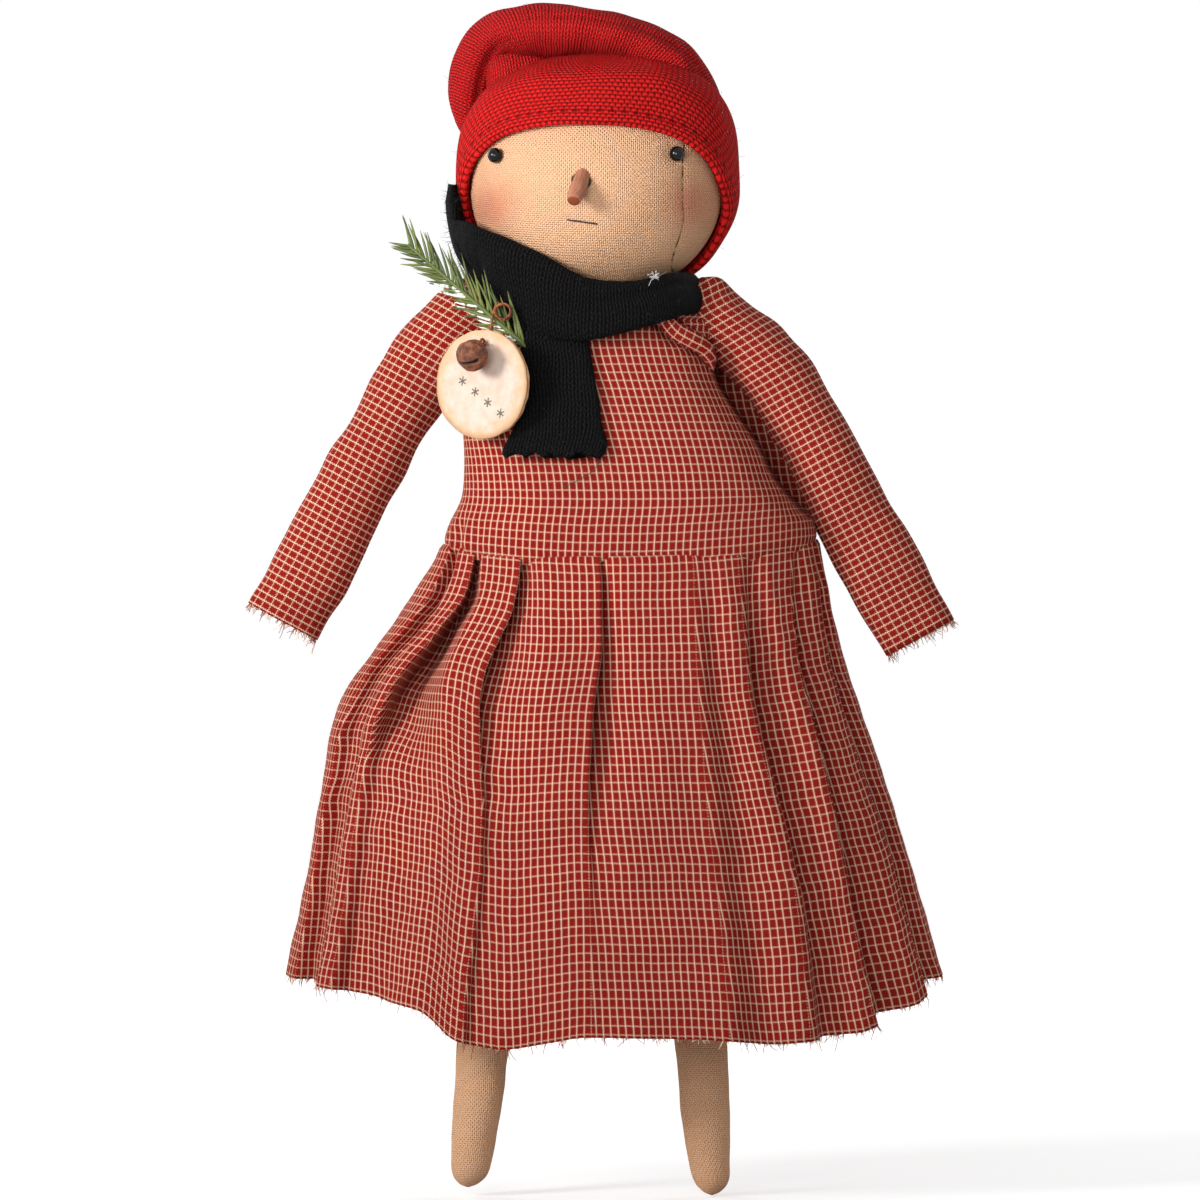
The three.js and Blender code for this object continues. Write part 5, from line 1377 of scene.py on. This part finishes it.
def tag_disc(name, node, seed):
    """A card disc with rounded, slightly worn edges and a hole near its top."""
    spin = around(144)
    wear = np.append(np.random.default_rng(seed).normal(0, 0.12, 48), 0)
    worn = np.interp(spin, np.linspace(0, TURN, len(wear)), wear, period=TURN)
    share, lift = np.array(tag_profile).T[..., None, None]
    direction = np.stack([np.cos(spin), np.sin(spin)], -1)
    outer = direction * (TAG_R + worn)[:, None]
    inner = np.array([0.0, TAG_HOLE]) + direction * TAG_HOLE_R
    flat = inner * (1 - share) + outer * share
    points = on_tag(middle_of(node), flat, lift)
    edge = np.broadcast_to(smooth((share[..., 0] - 0.93) / 0.06), points.shape[:2])
    uv = np.concatenate([flat, flat[:, :1]], 1) / 1000
    fit(grid_object(name, points, card_aged, uv, values={"edge": edge}), "tag", "cream_card", node)


tag_disc("card_front", "tag_front_disc", 101)
tag_disc("card_back", "tag_back_disc", 102)
front_middle = middle_of("tag_front_disc")

# Six-point marks in a slanting row, each of three bars.
mark_verts = []
for k in range(MARKS):
    spot = MARK_FIRST + MARK_STEP * k
    for bar in range(3):
        angle = math.radians(20 + 60 * bar)
        line = np.array([math.cos(angle), math.sin(angle)]) * MARK_HALF
        side = np.array([-math.sin(angle), math.cos(angle)]) * MARK_HALF_WIDTH
        flat = np.array([spot - line - side, spot - line + side, spot + line + side, spot + line - side])
        mark_verts.extend(on_tag(front_middle, flat, MARK_LIFT + 0.004 * bar))
mark_faces = [range(base, base + 4) for base in range(0, len(mark_verts), 4)]
fit(mesh_object("card_marks", np.array(mark_verts), mark_faces, ink_grey), "tag", "cream_card")

# Bell and wire

BELL_R = 6.6
BELL_DROOP = math.radians(35)
BELL_ROWS = 72
BELL_GAP = 0.02
BELL_RIM = 0.35
BELL_SLOT = 1.7
BELL_REACH = 9.2  # from the middle of its loop
LOOP_R = 1.9
LOOP_WIRE_R = 0.5
WIRE_R = 0.45
CURL_X = -39.5
CURL_Z = 375.0
CURL_R = 3.2
CURL_DEEP = 4.8
CURL_TURNS = 3
bell_line = tag_facing * math.cos(BELL_DROOP) - UP * math.sin(BELL_DROOP)
bell_up = np.cross(tag_across, bell_line)
tag_hole = (front_middle + middle_of("tag_back_disc")) / 2 + UP * TAG_HOLE
loop_centre = tag_hole + tag_facing * 3.85 + tag_across * 2.4
bell_centre = loop_centre + bell_line * BELL_REACH


def paint(node, material):
    """Give a solid that keeps its own mesh its material."""
    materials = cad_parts[node].data.materials
    materials.clear()
    materials.append(material)


outward = ball(BELL_ROWS, 96, BELL_GAP)
polar = np.linspace(BELL_GAP, math.pi - BELL_GAP, BELL_ROWS)[:, None]
size = BELL_R + BELL_RIM * bell_curve(polar - math.pi / 2, 0.09)
size = size + 0.28 * ripple(outward * 6, 5.5, 111) + 0.1 * ripple(outward * 6, 2.2, 112)
slot_across = np.exp(-((outward[..., 1] * 6.5 / 0.75) ** 4))
slot = slot_across * smooth((0.86 - np.abs(outward[..., 0])) / 0.1) * (outward[..., 2] > 0.2)
size = size - BELL_SLOT * slot
shell = bell_centre + size[..., None] * (outward @ np.array([tag_across, bell_up, bell_line]))
# The slit values mark where the slot gets painted shade.
bell = solid_object("jingle_bell", shell, rust_brown, values={"slit": smooth(slot * 1.5)})
fit(bell, "bell", "rust", "bell_upper_shell", "bell_lower_shell")
ring_path = circle(loop_centre, bell_line, bell_up, LOOP_R, 41)
fit(grid_object("bell_ring", tube(ring_path, LOOP_WIRE_R, 10), wire_brown), "bell", "rust", "bell_loop")
paint("bell_pellet", rust_brown)

wire_back = box_of("ornament_wire")[1][1]
share = np.linspace(0, 1, 73)
curl_r = CURL_R * (1 + 0.1 * np.sin(share * 23))
spin = CURL_TURNS * TURN * share + math.pi / 2
curl_y = wire_back - 2.5 - CURL_DEEP * (1 - share)
curl = np.stack([CURL_X + curl_r * np.cos(spin), curl_y, CURL_Z + curl_r * np.sin(spin)], -1)
wire_keys = [
    curl[-1],
    curl[-1] + np.array([-3.2, 1.4, 0.0]),
    tag_hole - tag_facing * 4.6 + UP * 3.2,
    tag_hole - tag_facing * 2.3,
    tag_hole,
    tag_hole + tag_facing * 1.45,
    tag_hole + tag_facing * 3.55 + tag_across * 0.45,
    loop_centre - tag_across * 0.6,
    loop_centre + tag_across * 2.4,
]
wire_path = np.concatenate([curl, spline(wire_keys, 60)[1:]])
wire = solid_object("curled_wire", tube(wire_path, WIRE_R, 10), wire_brown)
fit(wire, "torso", "rust", "ornament_wire")

# Sprig

NEEDLES = 66
NEEDLE_LONGEST = {-1: 20.0, 1: 14.5}  # above and below the stem
NEEDLE_FROSTED = 0.55  # share of those below the stem, away from its tip
NEEDLE_R = 0.66
sprig_base = np.array([-28.0, -37.3, 359.0])
sprig_tip = np.array([-80.0, -27.3, 404.0])
needle_taper = np.array([0.75, 1.0, 1.0, 0.95, 0.8, 0.5, 0.1])
stem = sprig_tip - sprig_base
stem_line = unit(stem)
spray = unit(np.cross(stem_line, BACK))
own = np.random.default_rng(121)
paths = [sprig_base + stem * np.linspace(0, 1, 12)[:, None]]
radii = [np.linspace(1.5, 0.7, 12)]
tones = [0.45]
frosts = [0.0]
for k in range(NEEDLES):
    share = 0.05 + 0.94 * k / (NEEDLES - 1)
    side = 1 if k % 2 else -1
    pitch = math.radians(own.uniform(26, 48))
    out = unit(spray * side * own.uniform(0.75, 1.0) - BACK * own.uniform(-0.12, 0.5))
    line = stem_line * math.cos(pitch) + out * math.sin(pitch)
    length = NEEDLE_LONGEST[side] * own.uniform(0.75, 1.05) * (1 - 0.3 * share)
    t = np.linspace(0, 1, len(needle_taper))[:, None]
    paths.append(sprig_base + stem * share + line * length * t + stem_line * 0.18 * length * t**2)
    radii.append(NEEDLE_R * needle_taper)
    tones.append(own.uniform(0.1, 0.9))
    frosts.append(1.0 if side > 0 and share < 0.6 and own.random() < NEEDLE_FROSTED else 0.0)
sprig = strands("spruce_spray", paths, radii, needle_green, 5, tones, frosts)
fit(sprig, "torso", "spruce", "spruce_sprig")

# Hidden pieces: the hip band, the shoulder threads and the dowel, which keeps its own mesh

low, high = box_of("hip_band")
round_box = squared(ball(40, 60, 0.05)[..., [2, 0, 1]], 0.6)
hip_cover = solid_object("hip_cover", (low + high) / 2 + round_box * (high - low) / 2 * 0.99, leg_linen)
fit(hip_cover, "hips", "linen", "hip_band")
for name, _ in SIDES:
    node = f"shoulder_thread_{name}"
    low, high = box_of(node)
    middle = (low + high) / 2
    shank_path = middle + RIGHT * np.linspace(low[0] - middle[0], high[0] - middle[0], 20)[:, None]
    shank = solid_object(f"shank_{name}", tube(shank_path, (high[1] - low[1]) / 2, 12), thread_dark)
    fit(shank, "torso", "thread", node)
paint("neck_dowel", peg_wood)

# Floor, light and camera

FLOOR_GREY = 0.75
FLOOR_REACH = 14.0  # metres
FLOOR_GAP = 0.0005  # metres under the soles
AMBIENT = 0.36
LAMPLIGHT = 0.25  # what the lamps add to the floor round the doll
LAMPLIT = (0.55, 1.48)  # metres from the doll's middle between which that dies away
WHITE = (1.0, 1.0, 1.0, 1.0)
AIM = (0.0, -0.04, -0.05)
CAMERA_SPOT = place(1.3, -3000.0, 253.8)
CAMERA_SLOPE = 254.65 / 2985  # half the picture's height against its distance
# Lamps: name, place, watts, size, the point each faces and its spread.
LAMPS = (
    ("key", (-0.95, -0.84, 0.32), 2.0, 0.36, (0.0, -0.04, 0.1), 1.1),
    ("fill", (-0.25, -1.05, 0.1), 1.05, 0.45, (0.0, -0.04, 0.13), 1.4),
    ("back_left", (-1.1, 1.3, 0.6), 8.0, 0.8, AIM, math.pi),
    ("back_right", (1.1, 1.3, 0.6), 8.0, 0.8, AIM, math.pi),
)


def seen_rays(tree):
    """1 on the rays by which the camera sees a surface: straight, in a gloss or through glass."""
    path = tree.nodes.new("ShaderNodeLightPath")
    seen = path.outputs["Is Camera Ray"]
    for kind in ("Is Glossy Ray", "Is Transmission Ray"):
        either = tree.nodes.new("ShaderNodeMath")
        either.operation = "MAXIMUM"
        tree.links.new(seen, either.inputs[0])
        tree.links.new(path.outputs[kind], either.inputs[1])
        seen = either.outputs[0]
    return seen


def floor_material():
    """Pale and matt. To the camera it is lifted to white, but not where the doll keeps the light off it."""
    grey = (FLOOR_GREY, FLOOR_GREY, FLOOR_GREY, 1)
    f = Finish("pale_floor", 1.0, Specular_IOR_Level=0.0, Base_Color=grey, Emission_Color=WHITE)
    away = f.node("ShaderNodeVectorMath", (f.place(),), "Value", operation="LENGTH")
    full = 1 - FLOOR_GREY * AMBIENT
    lift = f.ramp(away, *LAMPLIT, full - LAMPLIGHT, full)
    f.put(f.shader.inputs["Emission Strength"], lift * Term(f, seen_rays(f.tree)))
    return f.material


def add(name, data):
    made = bpy.data.objects.new(name, data)
    bpy.context.scene.collection.objects.link(made)
    return made


floor_mesh = bpy.data.meshes.new("floor")
level = place(0, 0, 0)[2] - FLOOR_GAP
corners = [(x * FLOOR_REACH, y * FLOOR_REACH, level) for x, y in ((-1, -1), (1, -1), (1, 1), (-1, 1))]
floor_mesh.from_pydata(corners, [], [(0, 1, 2, 3)])
floor_mesh.materials.append(floor_material())
add("floor", floor_mesh)

scene = bpy.context.scene
scene.view_settings.view_transform = "Standard"
scene.world = bpy.data.worlds.new("studio")
scene.world.use_nodes = True
tree = scene.world.node_tree
tree.nodes.clear()
choose = tree.nodes.new("ShaderNodeMixShader")
tree.links.new(seen_rays(tree), choose.inputs[0])
for socket, strength in ((1, AMBIENT), (2, 1.0)):
    glow = tree.nodes.new("ShaderNodeBackground")
    glow.inputs["Color"].default_value = WHITE
    glow.inputs["Strength"].default_value = strength
    tree.links.new(glow.outputs[0], choose.inputs[socket])
tree.links.new(choose.outputs[0], tree.nodes.new("ShaderNodeOutputWorld").inputs["Surface"])

for name, spot, watts, size, aim, spread in LAMPS:
    lamp = bpy.data.lights.new(name, "AREA")
    lamp.energy = watts
    lamp.size = size
    lamp.spread = spread
    softbox = add(name, lamp)
    softbox.location = spot
    softbox.rotation_euler = (Vector(aim) - Vector(spot)).to_track_quat("-Z", "Y").to_euler()

camera = bpy.data.cameras.new("camera")
camera.angle = 2 * math.atan(CAMERA_SLOPE)
camera.clip_end = 60.0
scene.camera = add("camera", camera)
scene.camera.location = CAMERA_SPOT
scene.camera.rotation_euler = (math.pi / 2, 0, 0)

bpy.context.view_layer.update()
